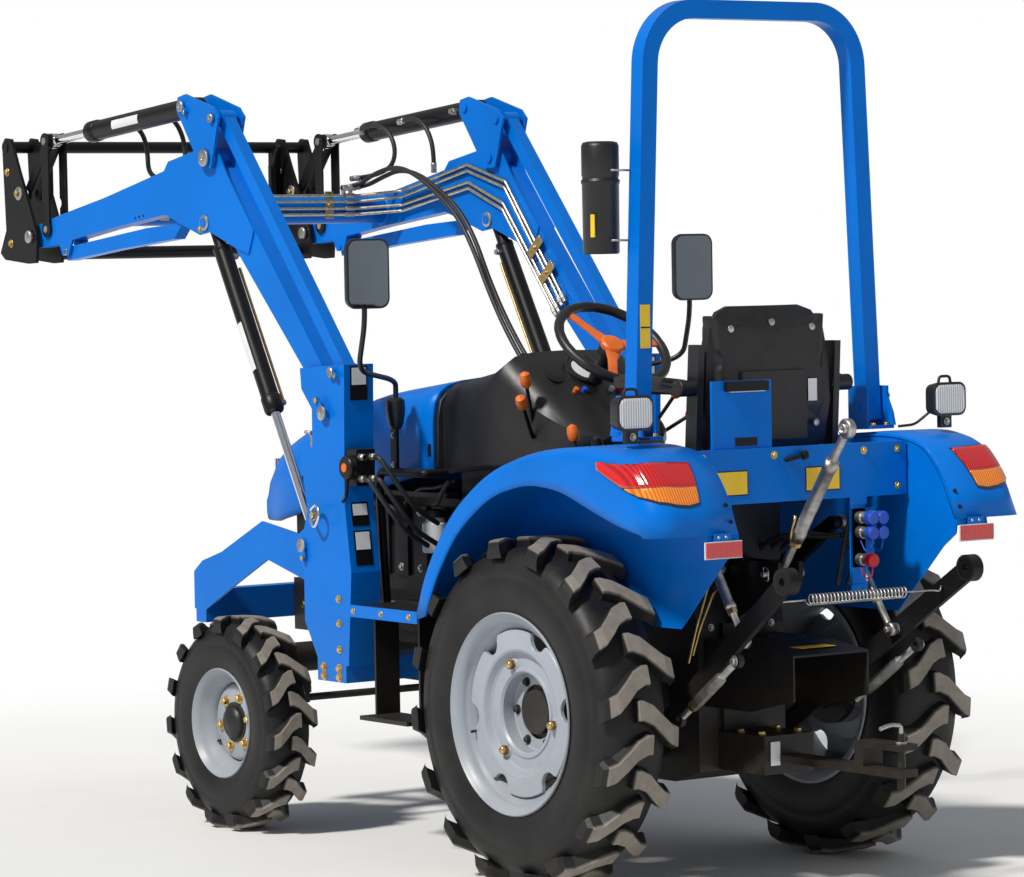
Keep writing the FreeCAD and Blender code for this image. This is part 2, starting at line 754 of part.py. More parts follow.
def make_cylinder(barrels, rods, start, end, pin, barrel_start, barrel_radius, barrel_length,
                  rod_radius, rod_length):
    """A pair of hydraulic cylinders between two pivots: barrels and rods."""
    body, length = aimed_part(barrels, start, end)
    for side in SIDES.values():
        shaft(body, (d.arm_y * side, 0), d.cylinder_neck_radius, 0, barrel_start)
        shaft(body, (d.arm_y * side, 0), barrel_radius, barrel_start, barrel_length)
        side_disc(body, (0, 0), 28, side, d.arm_y - 20, d.arm_y + 20)
    for side in SIDES.values():
        shaft(body, (d.arm_y * side, 0), rod_radius + d.pin_gap, barrel_start + 20,
              barrel_length + 10, pocket)
    disc(body, (0, 0), pin + d.pin_gap, -d.arm_y - 60, d.arm_y + 60, pocket)
    body, length = aimed_part(rods, start, end)
    for side in SIDES.values():
        shaft(body, (d.arm_y * side, 0), rod_radius, length - rod_length, length - 15)
        side_disc(body, (length, 0), 25, side, d.arm_y - 12, d.arm_y + 12)
    disc(body, (length, 0), pin + d.pin_gap, -d.arm_y - 60, d.arm_y + 60, pocket)


def make_parking_stands():
    body = new_part("parking_stands")
    for side in SIDES.values():
        side_slab(body, [(2500, 1754), (2488, 1712), (2171, 1744), (1830, 1772), (1776, 1820),
                         (1990, 1808)], side,
                  d.arm_y - 20, d.arm_y + 20)
        side_disc(body, STAND_PIN, 8, side, d.arm_y - 34, d.arm_y + 34)


def make_hydraulic_pipes():
    """Four pipes that run behind the cross tube and then down the inside of the right arm."""
    arm_routes = [[(2096, 1918), (1725, 1993), (1519, 1936), (1228, 1581)],
                  [(2096, 1899), (1724, 1974), (1523, 1917), (1243, 1569)],
                  [(2096, 1873), (1721, 1938), (1532, 1868), (1260, 1550)],
                  [(2096, 1854), (1720, 1919), (1536, 1849), (1275, 1538)]]
    behind = SIZES["cross_tube_x"] - SIZES["cross_tube_radius"] - 9
    beside = SIZES["arm_half"] + SIZES["gusset"] + SIZES["pipe_radius"] + 3 - SIZES["arm_y"]
    pipes = []
    for level, route in zip((1906, 1887, 1865, 1846), arm_routes):
        points = [(behind, SIZES["arm_y"] - 48, level), (behind, -370, level)]
        points += [(x, beside, z) for x, z in route]
        pipes.append(round_tube(points, SIZES["pipe_radius"], 24))
    return shaped_part("hydraulic_pipes", pipes)


def make_boom_hoses():
    """Two hoses that hang from the boom to the valve on the right mast."""
    front = [(2186, -345, 1931), (2186, -400, 1936), (2112, -412, 1962), (2010, -415, 1986),
             (1895, -415, 1966), (1790, -415, 1915), (1688, -415, 1858), (1600, -415, 1765),
             (1522, -416, 1625), (1425, -418, 1487), (1302, -421, 1352), (1165, -424, 1236),
             (1068, -428, 1172), (1000, -434, 1136), (980, -446, 1122)]
    rear = [(2186, -318, 1931), (2186, -372, 1940), (2104, -385, 1978), (1985, -388, 1996),
            (1868, -388, 1962), (1760, -388, 1902), (1655, -388, 1834), (1568, -388, 1728),
            (1486, -389, 1588), (1390, -391, 1455), (1268, -394, 1326), (1134, -398, 1206),
            (1044, -404, 1128), (990, -418, 1086), (972, -446, 1070)]
    return shaped_part("boom_hoses", [hose(route) for route in (front, rear)])


def make_tilt_hoses():
    """Two hoses from ports on each tilt cylinder down to the pipes behind the cross tube."""
    rod_end = [(2330, 461, 2119), (2262, 459, 2136), (2186, 461, 2132), (2124, 463, 2096),
               (2104, 463, 2040), (2118, 454, 1996), (2150, 424, 1974), (2176, 384, 1964),
               (2186, 340, 1960)]
    base_end = [(2080, 461, 2139), (2012, 459, 2152), (1942, 459, 2136), (1896, 459, 2086),
                (1880, 459, 2026), (1886, 462, 1972)]
    hoses = []
    for side in SIDES.values():
        for route in (rod_end, base_end):
            hoses.append(hose([(x, y * side, z) for x, y, z in route]))
    return shaped_part("tilt_hoses", hoses)


# --------------------------------------------------------------------------- bodywork
def make_hood():
    body = new_part("hood")
    front, rear, half = d.hood_front_x, d.hood_rear_x, d.hood_half_width
    skin = d.hood_sheet
    slab(body, [(front, 905), (front, 1070), (1745, 1132), (1618, 1188), (1485, 1234), (1185, 1312),
                (rear, 1358), (rear, 1092), (1700, 905)], -half, half)
    rounded(body, body.Tip, 35, lambda edge: abs(edge.BoundBox.YLength) < 0.01
            and edge.CenterOfMass.z > 1100 and edge.BoundBox.XLength > 60)
    inner = [(front - skin, 880), (front - skin, 1068), (1742, 1126), (1616, 1182), (1483, 1228),
             (1184, 1306), (rear - 20, 1352), (rear - 20, 880)]
    slab(body, inner, skin - half, half - skin, pocket)


def make_cowl():
    body = new_part("cowl")
    half = d.cowl_half_width
    front = d.hood_rear_x - 6
    slab(body, [(front, 1075), (front, 1356), (603, 1385), (550, 1434), (249, 1191), (400, 1130)],
         -half, half)
    slab(body, [(480, d.floor_z + 1), (front, d.floor_z + 1), (front, 1080), (440, 1120)], -195, 195)


def make_steering_wheel():
    body = doc.addObject("PartDesign::Body", "steering_wheel")
    body.Label = "steering_wheel"
    sub_parts.append(body)
    body.Placement = Placement(Vector(), Rotation(Vector(0, -1, 0), d.steering_tilt.value))
    bind(body, "Placement.Base.x", d.rear_axle_x + d.steering_x)
    bind(body, "Placement.Base.z", d.steering_z)
    bind(body, "Placement.Rotation.Angle", d.steering_tilt)
    ring = body.newObject("PartDesign::AdditiveTorus", "steering_ring")
    bind(ring, "Radius1", d.steering_radius)
    bind(ring, "Radius2", d.steering_grip)
    for turn in (90, 210, 330):
        across = Rotation(Vector(0, 0, 1), turn).multVec(Vector(1, 0, 0))
        sideways = Rotation(Vector(0, 0, 1), turn).multVec(Vector(0, d.spoke_half_width.value, 0))
        points = [(d.steering_radius * (across.x * reach) + sideways.x * edge,
                   d.steering_radius * (across.y * reach) + sideways.y * edge)
                  for reach, edge in ((0, -1), (1, -1), (1, 1), (0, 1))]
        deck(body, points, -6, 2)
    post(body, (0, 0), 34, -40, 6)
    post(body, (0, 0), 20, -135, -40)


def make_platform(side_name, side):
    body = new_part(f"platform_{side_name}")
    top = d.floor_z
    plan = [(60, 155), (790, 155), (790, 600), (480, 600), (480, 364), (60, 364)]
    side_deck(body, plan, side, top - 14, top)
    side_deck(body, [(500, 480), (740, 480), (740, 610), (500, 610)], side, 400, 412)
    for x in (505, 727):
        side_slab(body, rectangle(x, 405, x + 8, top - 8), side, 480, 560)


def make_fender(side_name, side):
    body = new_part(f"fender_{side_name}")
    crown = [(440, 716), (385, 850), (265, 1010), (80, 1130), (-140, 1193), (-400, 1212),
             (-560, 1190), (-640, 1110), (-712, 975)]
    inner, outer = d.fender_inner_y, d.fender_outer_y
    side_slab(body, crown + [(-690, 940), (-640, 905), (-450, 716)], side, inner, outer)
    arch = rounded(body, body.Tip, 90, lambda edge: along_y(edge) and edge.CenterOfMass.z > 840
                   and edge.CenterOfMass.x > -650)
    rounded(body, arch, 14, lambda edge: abs(abs(edge.CenterOfMass.y) - outer.value) < 0.1
            and edge.CenterOfMass.z > 1010)
    centre = (sized(0), d.rear_tyre_radius)
    hollow = shrunk(crown, centre, d.fender_sheet / 520)
    side_slab(body, hollow + [(-700, 500), (440, 500)], side, inner + d.fender_sheet,
              outer - d.fender_sheet, pocket)
    mouth = shrunk(crown, centre, d.fender_lip / 600)
    side_slab(body, mouth + [(-700, 500), (440, 500)], side, outer - 20, outer + 10, pocket)
    side_slab(body, [(-548, 1166), (-577, 1194), (-680, 1071), (-648, 1047)], side,
              inner + 47, outer - 12, pocket)


def make_rops_bases():
    body = new_part("rops_bases")
    for side in SIDES.values():
        foot = d.rops_foot_y
        x = d.rops_x
        side_slab(body, [(x - 60, 1213), (x + 60, 1208), (x + 60, 1222), (x - 60, 1222)], side,
                  foot - 40, foot + 40)
        for low in (-39, 31):
            side_slab(body, rectangle(x - 40, 1221, x + 40, d.rops_pivot_z + 60), side,
                      foot + low, foot + low + 8)
        side_disc(body, (x, d.rops_pivot_z), 9, side, foot - 45, foot + 45)


def make_rops_hoop():
    half = SIZES["rops_tube"] / 2
    x, top = SIZES["rops_x"], SIZES["rops_top_z"]
    foot_y, top_y, low = SIZES["rops_foot_y"], SIZES["rops_top_y"], SIZES["rops_pivot_z"] - 32
    path = [(x, foot_y, low), (x, top_y, top), (x, -top_y, top), (x, -foot_y, low)]
    run = (Vector(*path[1]) - Vector(*path[0])).normalize()
    across = run.cross(Vector(1, 0, 0)).normalize() * half
    ahead = Vector(half, 0, 0)
    start = Vector(*path[0])
    corners = [start + ahead + across, start - ahead + across, start - ahead - across,
               start + ahead - across]
    section = Part.makePolygon(corners + corners[:1])
    hoop = Part.Wire(bent_path(path, SIZES["rops_bend"])).makePipeShell([section], True, True)
    hole = Part.makeCylinder(9.5, 2 * foot_y + 200, Vector(x, -foot_y - 100, low + 32), Vector(0, 1, 0))
    return shaped_part("rops_hoop", [hoop.cut(hole)])


def make_manual_canister():
    body = new_part("manual_canister")
    post(body, (-228, 455), 49, 1705, 2003)
    deck(body, rectangle(-279, 400, -240, 455), 1780, 1930)


def make_seat_frame():
    body = new_part("seat_frame")
    slab(body, rectangle(-300, 1060, 90, 1078), -195, 195)
    slab(body, rectangle(-230, 863, 40, 1060), -140, 140)
    for side in SIDES.values():
        side_slab(body, [(-350, 1060), (-300, 1060), (-330, 1460), (-375, 1460)], side, 225, 245)
        side_slab(body, rectangle(-300, 1060, -290, 1078), side, 195, 245)
        side_slab(body, [(-345, 1330), (-60, 1345), (-60, 1372), (-345, 1357)], side, 246, 292)


def make_seat_cushion():
    body = new_part("seat_cushion")
    half = d.seat_half_width
    slab(body, [(-310, 1080), (110, 1080), (125, 1120), (110, d.seat_z), (-310, d.seat_z - 20)],
         -half, half)


def make_seat_backrest():
    body = new_part("seat_backrest")
    half = d.seat_half_width - 5
    slab(body, [(-325, 1165), (-265, 1165), (-285, 1320), (-320, 1550), (-372, 1550), (-378, 1300)],
         -half, half)


def make_rear_panel():
    body = new_part("rear_panel")
    panel(body, rectangle(-365, 1040, 365, 1185), -500, -470)
    slab(body, rectangle(-470, 1150, -385, 1160), -365, 365)
    panel(body, rectangle(90, 1185, 290, 1366), -486, -478)
    panel(body, rectangle(-218, 780, -170, 1040), -500, -490)


def make_lamps(label, outline, inner, outer):
    body = new_part(label)
    for side in SIDES.values():
        side_slab(body, outline, side, inner, outer)


def make_mirrors():
    """The tube guards beside the engine, each with a mirror on a bent arm."""
    solids = []
    for side in SIDES.values():
        guard_y, mirror_y = 340 * side, 580 * side
        guard = round_tube([(985, guard_y, 557), (1030, guard_y, 1085), (790, guard_y, 1085),
                            (790, 263 * side, 1085)], 13, 38)
        upright = Part.makeBox(30, 10, 140, Vector(925, guard_y - 5, 1085))
        socket = Part.makeBox(56, 60, 92, Vector(905, guard_y - 30, 1208))
        arm = round_tube([(930, guard_y, 1295), (930, guard_y, 1350), (760, mirror_y, 1385),
                          (722, mirror_y, 1520), (722, mirror_y, 1600)], 8, 30)
        head = Part.makeBox(26, 150, 205, Vector(698, mirror_y - 75, 1558))
        solids.append(joined([guard, upright, socket, arm, head]))
    return shaped_part("mirrors", solids)


# --------------------------------------------------------------------------- rear hitch
def make_lift_arms():
    body, length = aimed_part("lift_arms", ROCKSHAFT, LIFT_ARM)
    for side in SIDES.values():
        side_slab(body, [(0, -32), (length, -18), (length, 18), (0, 32)], side, 205, 225)
        side_disc(body, (0, 0), 38, side, 155, 230)
        side_disc(body, (length, 0), 18, side, 205, 225)
        side_disc(body, (length, 0), 9, side, 225, 258)


def make_lift_links():
    def link(side):
        start = (LIFT_ARM[0].value, 244 * side, LIFT_ARM[1].value)
        end = (LIFT_LINK[0].value, 252 * side, LIFT_LINK[1].value)
        rod = round_bar(start, end, 10)
        sleeve_run = Vector(*end) - Vector(*start)
        low = Vector(*start) + sleeve_run * 0.25
        high = Vector(*start) + sleeve_run * 0.7
        sleeve = round_bar(tuple(low), tuple(high), 16)
        eye = Part.makeCylinder(20, 20, Vector(start[0], start[1] - 10, start[2]), Vector(0, 1, 0))
        foot = Part.makeCylinder(18, 16, Vector(end[0], end[1] - 8, end[2]), Vector(0, 1, 0))
        bore = Part.makeCylinder(9.5, 40, Vector(start[0], start[1] - 20, start[2]), Vector(0, 1, 0))
        return joined([rod, sleeve, eye, foot]).cut(bore)
    return shaped_part("lift_links", both_sides(link))


def make_lower_links():
    def link(side):
        start = (LOWER_LINK[0].value, 220 * side, LOWER_LINK[1].value)
        end = (LINK_BALL[0].value, SIZES["link_ball_y"] * side, LINK_BALL[1].value)
        bar = flat_bar(start, end, 16, 55)
        pivot = Part.makeCylinder(34, 30, Vector(start[0], start[1] - 15, start[2]), Vector(0, 1, 0))
        ball = Part.makeCylinder(36, 34, Vector(end[0], end[1] - 17, end[2]), Vector(0, 1, 0))
        bore = Part.makeCylinder(14.5, 60, Vector(start[0], start[1] - 30, start[2]), Vector(0, 1, 0))
        ball_bore = Part.makeCylinder(11.2, 60, Vector(end[0], end[1] - 30, end[2]), Vector(0, 1, 0))
        return joined([bar, pivot, ball]).cut(bore).cut(ball_bore)
    return shaped_part("lower_links", both_sides(link))


def make_top_link():
    body, length = aimed_part("top_link", TOP_LINK, TOP_BALL)
    shaft(body, (0, 0), 13, 0, length)
    shaft(body, (0, 0), 20, length * 0.3, length * 0.72)
    for x in (0, length):
        disc(body, (x, 0), 27, -22, 22)
    for x in (0, length):
        disc(body, (x, 0), 9.6, -40, 40, pocket)


def make_stabilisers():
    """Telescopic stays from the axle housing to the lower links."""
    def stay(side):
        start = (STAY_BASE[0].value, 300 * side, STAY_BASE[1].value)
        end = (STAY_END[0].value, 308 * side, STAY_END[1].value)
        run = Vector(*end) - Vector(*start)
        middle = Vector(*start) + run * 0.55
        tube = round_bar(start, tuple(middle), 17)
        rod = round_bar(tuple(middle), end, 12)
        eyes = [Part.makeCylinder(22, 20, Vector(x, y - 10, z), Vector(0, 1, 0))
                for x, y, z in (start, end)]
        bores = [Part.makeCylinder(10.5, 40, Vector(x, y - 20, z), Vector(0, 1, 0))
                 for x, y, z in (start, end)]
        return joined([tube, rod] + eyes).cut(bores[0]).cut(bores[1])
    return shaped_part("stabilisers", both_sides(stay))


def make_link_spring():
    """The spring that draws the lower links together, as a plain tube with its two hooks."""
    x, z, reach = -720, 797, 291
    coil = Part.makeCylinder(16, 400, Vector(x, -200, z), Vector(0, 1, 0))
    hollow = Part.makeCylinder(12, 390, Vector(x, -195, z), Vector(0, 1, 0))
    hooks = [Part.makeCylinder(3, reach - 198, Vector(x, 198 * side, z), Vector(0, side, 0))
             for side in SIDES.values()]
    return shaped_part("link_spring", [joined([coil.cut(hollow)] + hooks)])


def make_drawbar():
    body = new_part("drawbar")
    panel(body, rectangle(-130, 478, 130, 663), -260, -231)
    for side in SIDES.values():
        side_slab(body, [(-231, 478), (-231, 663), (-430, 663), (-610, 640), (-610, 520), (-430, 478)],
                  side, 124, 130)
        side_slab(body, [(-231, 700), (-231, 870), (-445, 872), (-445, 810)], side, 30, 42)
    slab(body, [(-231, 657), (-231, 663), (-430, 663), (-610, 640), (-610, 634), (-430, 657)], -124, 124)
    shaft(body, (0, 570), 42, -330, -260)
    shaft(body, (0, 570), 17.5, -430, -330)
    slab(body, rectangle(-915, d.drawbar_z - 24, -231, d.drawbar_z - 4), -34, 34)
    slab(body, rectangle(-915, d.drawbar_z + 46, -740, d.drawbar_z + 62), -34, 34)
    slab(body, rectangle(-775, d.drawbar_z - 4, -740, d.drawbar_z + 46), -34, 34)
    slab(body, rectangle(-430, d.drawbar_z - 56, -231, d.drawbar_z + 48), -85, 85)
    panel(body, rectangle(-75, 316, 75, 700), -245, -231)
    panel(body, rectangle(-42, 660, 42, 872), -245, -231)
    disc(body, TOP_LINK, 9, -50, 50)
    post(body, (-888, 0), 11, 305, 448)


def make_all():
    for side_name, side in SIDES.items():
        make_tyre(f"rear_tyre_{side_name}", sized(0), side, d.rear_wheel_y, d.rear_tyre_radius,
                  d.rear_tyre_half_width, d.rear_bead_radius)
        make_tyre(f"front_tyre_{side_name}", d.wheelbase, side, d.front_wheel_y,
                  d.front_tyre_radius, d.front_tyre_half_width, d.front_bead_radius)
        make_rear_wheel(side_name, side)
        make_front_wheel(side_name, side)
        make_knuckle(side_name, side)
        make_mast(side_name, side)
        make_platform(side_name, side)
        make_fender(side_name, side)
    make_front_axle_beam()
    make_tie_rod()
    make_transmission_housing()
    make_engine_block()
    make_front_frame()
    make_loader_crossbeam()
    make_front_guard()
    make_boom()
    make_bellcranks()
    make_level_links()
    make_pins("tip_pins", TIP, d.loader_pin_radius, 0, 58)
    make_pins("guide_pins", GUIDE_BASE, 11, 0, 38)
    make_pins("top_pins", GUIDE_TOP, 12, d.tilt_rod_radius + 1.5, 38)
    make_tool_carrier()
    make_guide_links()
    make_coupler_links()
    make_cylinder("lift_barrels", "lift_rods", LIFT_TOP, LIFT_FOOT, 15, d.lift_barrel_start,
                  d.lift_barrel_radius, d.lift_barrel_length, d.lift_rod_radius, d.lift_rod_length)
    make_cylinder("tilt_barrels", "tilt_rods", TILT_BASE, GUIDE_TOP, 12.7, d.tilt_barrel_start,
                  d.tilt_barrel_radius, d.tilt_barrel_length, d.tilt_rod_radius, d.tilt_rod_length)
    make_parking_stands()
    make_hydraulic_pipes()
    make_boom_hoses()
    make_tilt_hoses()
    make_hood()
    make_cowl()
    make_steering_wheel()
    make_rops_bases()
    make_rops_hoop()
    make_manual_canister()
    make_seat_frame()
    make_seat_cushion()
    make_seat_backrest()
    make_rear_panel()
    make_lamps("tail_lamps", [(-555, 1167), (-576, 1185), (-670, 1071), (-649, 1053)],
               d.fender_inner_y + 48, d.fender_outer_y - 13)
    make_lamps("work_lamps", [(-490, 1212), (-430, 1212), (-440, 1235), (-440, 1330), (-490, 1330)],
               525, 600)
    make_mirrors()
    make_lift_arms()
    make_lift_links()
    make_lower_links()
    make_top_link()
    make_stabilisers()
    make_link_spring()
    make_drawbar()


make_all()
doc.recompute()

# --------------------------------------------------------------------------- checks and export
for thing in doc.Objects:
    if {"Invalid", "Error"} & set(thing.State):
        raise RuntimeError(f"{thing.Label} failed to compute: {thing.State}")
for sub_part in sub_parts:
    if sub_part.Shape.isNull() or not sub_part.Shape.isValid() or not sub_part.Shape.Solids:
        raise RuntimeError(f"{sub_part.Label} has no valid solid")

os.makedirs("parts", exist_ok=True)
for sub_part in sub_parts:
    sub_part.Shape.exportStep(f"parts/{sub_part.Label}.step")
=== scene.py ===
"""Looks of the compact tractor with front loader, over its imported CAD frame."""
import json
import math
import bmesh
import bpy
from mathutils import Matrix, Vector


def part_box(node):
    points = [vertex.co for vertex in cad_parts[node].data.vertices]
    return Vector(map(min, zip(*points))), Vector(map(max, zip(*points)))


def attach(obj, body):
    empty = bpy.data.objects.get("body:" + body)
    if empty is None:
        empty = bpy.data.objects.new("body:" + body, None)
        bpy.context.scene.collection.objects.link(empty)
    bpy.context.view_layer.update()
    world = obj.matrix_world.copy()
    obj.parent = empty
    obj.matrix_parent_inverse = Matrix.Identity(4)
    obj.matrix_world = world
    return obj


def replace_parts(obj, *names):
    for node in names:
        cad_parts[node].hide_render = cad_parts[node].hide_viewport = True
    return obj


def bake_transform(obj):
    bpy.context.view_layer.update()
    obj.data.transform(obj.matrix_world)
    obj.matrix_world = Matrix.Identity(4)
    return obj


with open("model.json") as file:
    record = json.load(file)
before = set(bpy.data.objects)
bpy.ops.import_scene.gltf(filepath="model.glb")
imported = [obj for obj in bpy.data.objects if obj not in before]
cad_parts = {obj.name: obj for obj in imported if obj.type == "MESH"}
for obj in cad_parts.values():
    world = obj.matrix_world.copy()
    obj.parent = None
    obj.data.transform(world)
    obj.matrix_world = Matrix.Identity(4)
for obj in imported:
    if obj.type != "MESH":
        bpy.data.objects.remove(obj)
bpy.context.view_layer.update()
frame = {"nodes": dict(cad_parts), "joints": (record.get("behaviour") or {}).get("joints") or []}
nodes = frame["nodes"]
joints = {joint["name"]: joint for joint in frame["joints"]}

LEFT, RIGHT = 1, -1
SIDES = {"left": LEFT, "right": RIGHT}
X_AXIS, Y_AXIS, Z_AXIS = Vector((1, 0, 0)), Vector((0, 1, 0)), Vector((0, 0, 1))


def centre(node):
    low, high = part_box(node)
    return (low + high) / 2


def size(node):
    low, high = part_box(node)
    return high - low


def joint_at(name):
    return Vector(joints[name]["pos_m"])


# the rear axle's place on the ground, from which side-view places are measured
AXLE = Vector((joint_at("rear_left_wheel_spin").x, 0, 0))


def place(x, y, z):
    """A point given from the rear axle, in metres."""
    return AXLE + Vector((x, y, z))


# --------------------------------------------------------------------------- materials
def new_material(name):
    material = bpy.data.materials.new(name)
    material.use_nodes = True
    tree = material.node_tree
    return material, tree, tree.nodes["Principled BSDF"]


def noise(tree, scale, detail=4.0, roughness=0.6):
    node = tree.nodes.new("ShaderNodeTexNoise")
    node.inputs["Scale"].default_value = scale
    node.inputs["Detail"].default_value = detail
    node.inputs["Roughness"].default_value = roughness
    geometry = tree.nodes.new("ShaderNodeNewGeometry")
    tree.links.new(geometry.outputs["Position"], node.inputs["Vector"])
    return node.outputs["Fac"]


def ramp(tree, value, stops):
    """A colour ramp of (position, colour) stops."""
    node = tree.nodes.new("ShaderNodeValToRGB")
    elements = node.color_ramp.elements
    elements[0].position, elements[0].color = stops[0][0], (*stops[0][1], 1)
    elements[1].position, elements[1].color = stops[-1][0], (*stops[-1][1], 1)
    for position, colour in stops[1:-1]:
        elements.new(position).color = (*colour, 1)
    tree.links.new(value, node.inputs["Fac"])
    return node.outputs["Color"]


def remap(tree, value, from_low, from_high, to_low, to_high):
    node = tree.nodes.new("ShaderNodeMapRange")
    for name, number in (("From Min", from_low), ("From Max", from_high), ("To Min", to_low),
                         ("To Max", to_high)):
        node.inputs[name].default_value = number
    tree.links.new(value, node.inputs["Value"])
    return node.outputs["Result"]


def span(tree, value, low, high):
    """value from 0 to 1, remapped to low to high."""
    return remap(tree, value, 0, 1, low, high)


def blend_colour(tree, amount, first, second):
    node = tree.nodes.new("ShaderNodeMix")
    node.data_type = "RGBA"
    tree.links.new(amount, node.inputs["Factor"])
    for socket, colour in ((node.inputs[6], first), (node.inputs[7], second)):
        if isinstance(colour, tuple):
            socket.default_value = (*colour, 1)
        else:
            tree.links.new(colour, socket)
    return node.outputs[2]


def bump(tree, shader, height, strength, distance):
    node = tree.nodes.new("ShaderNodeBump")
    node.inputs["Strength"].default_value = strength
    node.inputs["Distance"].default_value = distance
    tree.links.new(height, node.inputs["Height"])
    tree.links.new(node.outputs["Normal"], shader.inputs["Normal"])


def vertical(tree, output):
    """The Z part of a surface's Position or Normal."""
    geometry = tree.nodes.new("ShaderNodeNewGeometry")
    separate = tree.nodes.new("ShaderNodeSeparateXYZ")
    tree.links.new(geometry.outputs[output], separate.inputs["Vector"])
    return separate.outputs["Z"]


def facing_up(tree, low, high):
    """1 where the surface faces up, for dust."""
    return remap(tree, vertical(tree, "Normal"), low, high, 0, 1)


def multiply(tree, first, second):
    node = tree.nodes.new("ShaderNodeMath")
    node.operation = "MULTIPLY"
    tree.links.new(first, node.inputs[0])
    if isinstance(second, float):
        node.inputs[1].default_value = second
    else:
        tree.links.new(second, node.inputs[1])
    return node.outputs["Value"]


def near_ground(tree, low, high):
    """1 at the height low, falling to 0 at the height high."""
    return remap(tree, vertical(tree, "Position"), low, high, 1, 0)


def painted(name, colour, roughness, dust=0.25, gloss=0.4):
    """Sprayed paint: slight orange peel, uneven gloss, and dust on what faces up."""
    material, tree, shader = new_material(name)
    shade = tuple(channel * 0.86 for channel in colour)
    base = ramp(tree, noise(tree, 3.5), [(0.3, shade), (0.7, colour)])
    settled = multiply(tree, facing_up(tree, 0.2, 1.0), noise(tree, 14))
    dusty = blend_colour(tree, multiply(tree, settled, dust), base, (0.30, 0.27, 0.22))
    splashed = multiply(tree, near_ground(tree, 0.2, 0.75), noise(tree, 22, 8))
    tree.links.new(blend_colour(tree, multiply(tree, splashed, 0.35), dusty, (0.16, 0.13, 0.10)),
                   shader.inputs["Base Color"])
    tree.links.new(span(tree, noise(tree, 9), roughness * 0.8, roughness * 1.3),
                   shader.inputs["Roughness"])
    shader.inputs["Specular IOR Level"].default_value = gloss
    bump(tree, shader, noise(tree, 160, 2), 0.12, 0.0006)
    return material


def metal(name, dark, light, roughness, grain=60):
    """Bare or plated metal with blotches in its plating."""
    material, tree, shader = new_material(name)
    tree.links.new(ramp(tree, noise(tree, grain, 6), [(0.3, dark), (0.7, light)]),
                   shader.inputs["Base Color"])
    shader.inputs["Metallic"].default_value = 1.0
    tree.links.new(span(tree, noise(tree, grain * 1.7), roughness * 0.7, roughness * 1.4),
                   shader.inputs["Roughness"])
    bump(tree, shader, noise(tree, grain * 5), 0.15, 0.0005)
    return material


def moulded(name, dark, light, roughness, grain=900, depth=0.25):
    """Plastic, rubber or vinyl with a fine moulded grain."""
    material, tree, shader = new_material(name)
    tree.links.new(ramp(tree, noise(tree, 12), [(0.3, dark), (0.7, light)]),
                   shader.inputs["Base Color"])
    tree.links.new(span(tree, noise(tree, 25), roughness * 0.85, roughness * 1.15),
                   shader.inputs["Roughness"])
    bump(tree, shader, noise(tree, grain, 3), depth, 0.0008)
    return material


def lens(name, colour, glow=0.0):
    """Moulded lamp lens with prism ribs."""
    material, tree, shader = new_material(name)
    wave = tree.nodes.new("ShaderNodeTexWave")
    wave.inputs["Scale"].default_value = 40
    wave.bands_direction = "Y"
    geometry = tree.nodes.new("ShaderNodeNewGeometry")
    tree.links.new(geometry.outputs["Position"], wave.inputs["Vector"])
    deep = tuple(channel * 0.45 for channel in colour)
    tree.links.new(blend_colour(tree, wave.outputs["Fac"], deep, colour), shader.inputs["Base Color"])
    shader.inputs["Roughness"].default_value = 0.12
    shader.inputs["Coat Weight"].default_value = 0.6
    shader.inputs["Emission Color"].default_value = (*colour, 1)
    shader.inputs["Emission Strength"].default_value = glow
    bump(tree, shader, wave.outputs["Fac"], 0.5, 0.001)
    return material


BLUE = painted("blue_paint", (0.0, 0.160, 0.640), 0.30, dust=0.05, gloss=0.12)
BLACK = painted("black_paint", (0.006, 0.006, 0.007), 0.36, dust=0.06, gloss=0.25)
CAST = painted("cast_housing", (0.007, 0.007, 0.008), 0.48, dust=0.14)
SILVER = painted("wheel_paint", (0.36, 0.40, 0.46), 0.36, dust=0.15)
ZINC = metal("zinc_plate", (0.42, 0.38, 0.28), (0.72, 0.68, 0.55), 0.34)
GALVANISED = metal("galvanised_steel", (0.30, 0.29, 0.27), (0.62, 0.61, 0.58), 0.42, grain=35)
GOLD = metal("yellow_zinc", (0.50, 0.33, 0.10), (0.78, 0.58, 0.24), 0.3)
CHROME = metal("chrome_rod", (0.72, 0.73, 0.75), (0.86, 0.87, 0.88), 0.08)
RUST = metal("rusty_bolt", (0.16, 0.07, 0.03), (0.42, 0.26, 0.12), 0.6)
PLASTIC = moulded("black_plastic", (0.007, 0.007, 0.008), (0.014, 0.014, 0.015), 0.40)
RUBBER = moulded("hose_rubber", (0.010, 0.010, 0.010), (0.020, 0.020, 0.020), 0.5)
VINYL = moulded("seat_vinyl", (0.007, 0.007, 0.008), (0.015, 0.015, 0.016), 0.45, grain=520, depth=0.5)
ORANGE = moulded("orange_plastic", (0.62, 0.11, 0.01), (0.80, 0.17, 0.02), 0.4)
RED = moulded("red_plastic", (0.55, 0.01, 0.012), (0.72, 0.02, 0.02), 0.35)
YELLOW = moulded("yellow_label", (0.78, 0.50, 0.01), (0.86, 0.58, 0.02), 0.4)
WHITE = moulded("white_label", (0.62, 0.63, 0.64), (0.74, 0.75, 0.76), 0.35)
SKY = moulded("blue_cap", (0.01, 0.06, 0.42), (0.02, 0.09, 0.55), 0.35)
RED_LENS = lens("red_lens", (0.62, 0.012, 0.015), 0.12)
AMBER_LENS = lens("amber_lens", (0.88, 0.24, 0.02), 0.15)
CLEAR_LENS = lens("clear_lens", (0.78, 0.82, 0.86))
MIRROR = metal("mirror_glass", (0.30, 0.34, 0.39), (0.38, 0.43, 0.48), 0.03, grain=3)


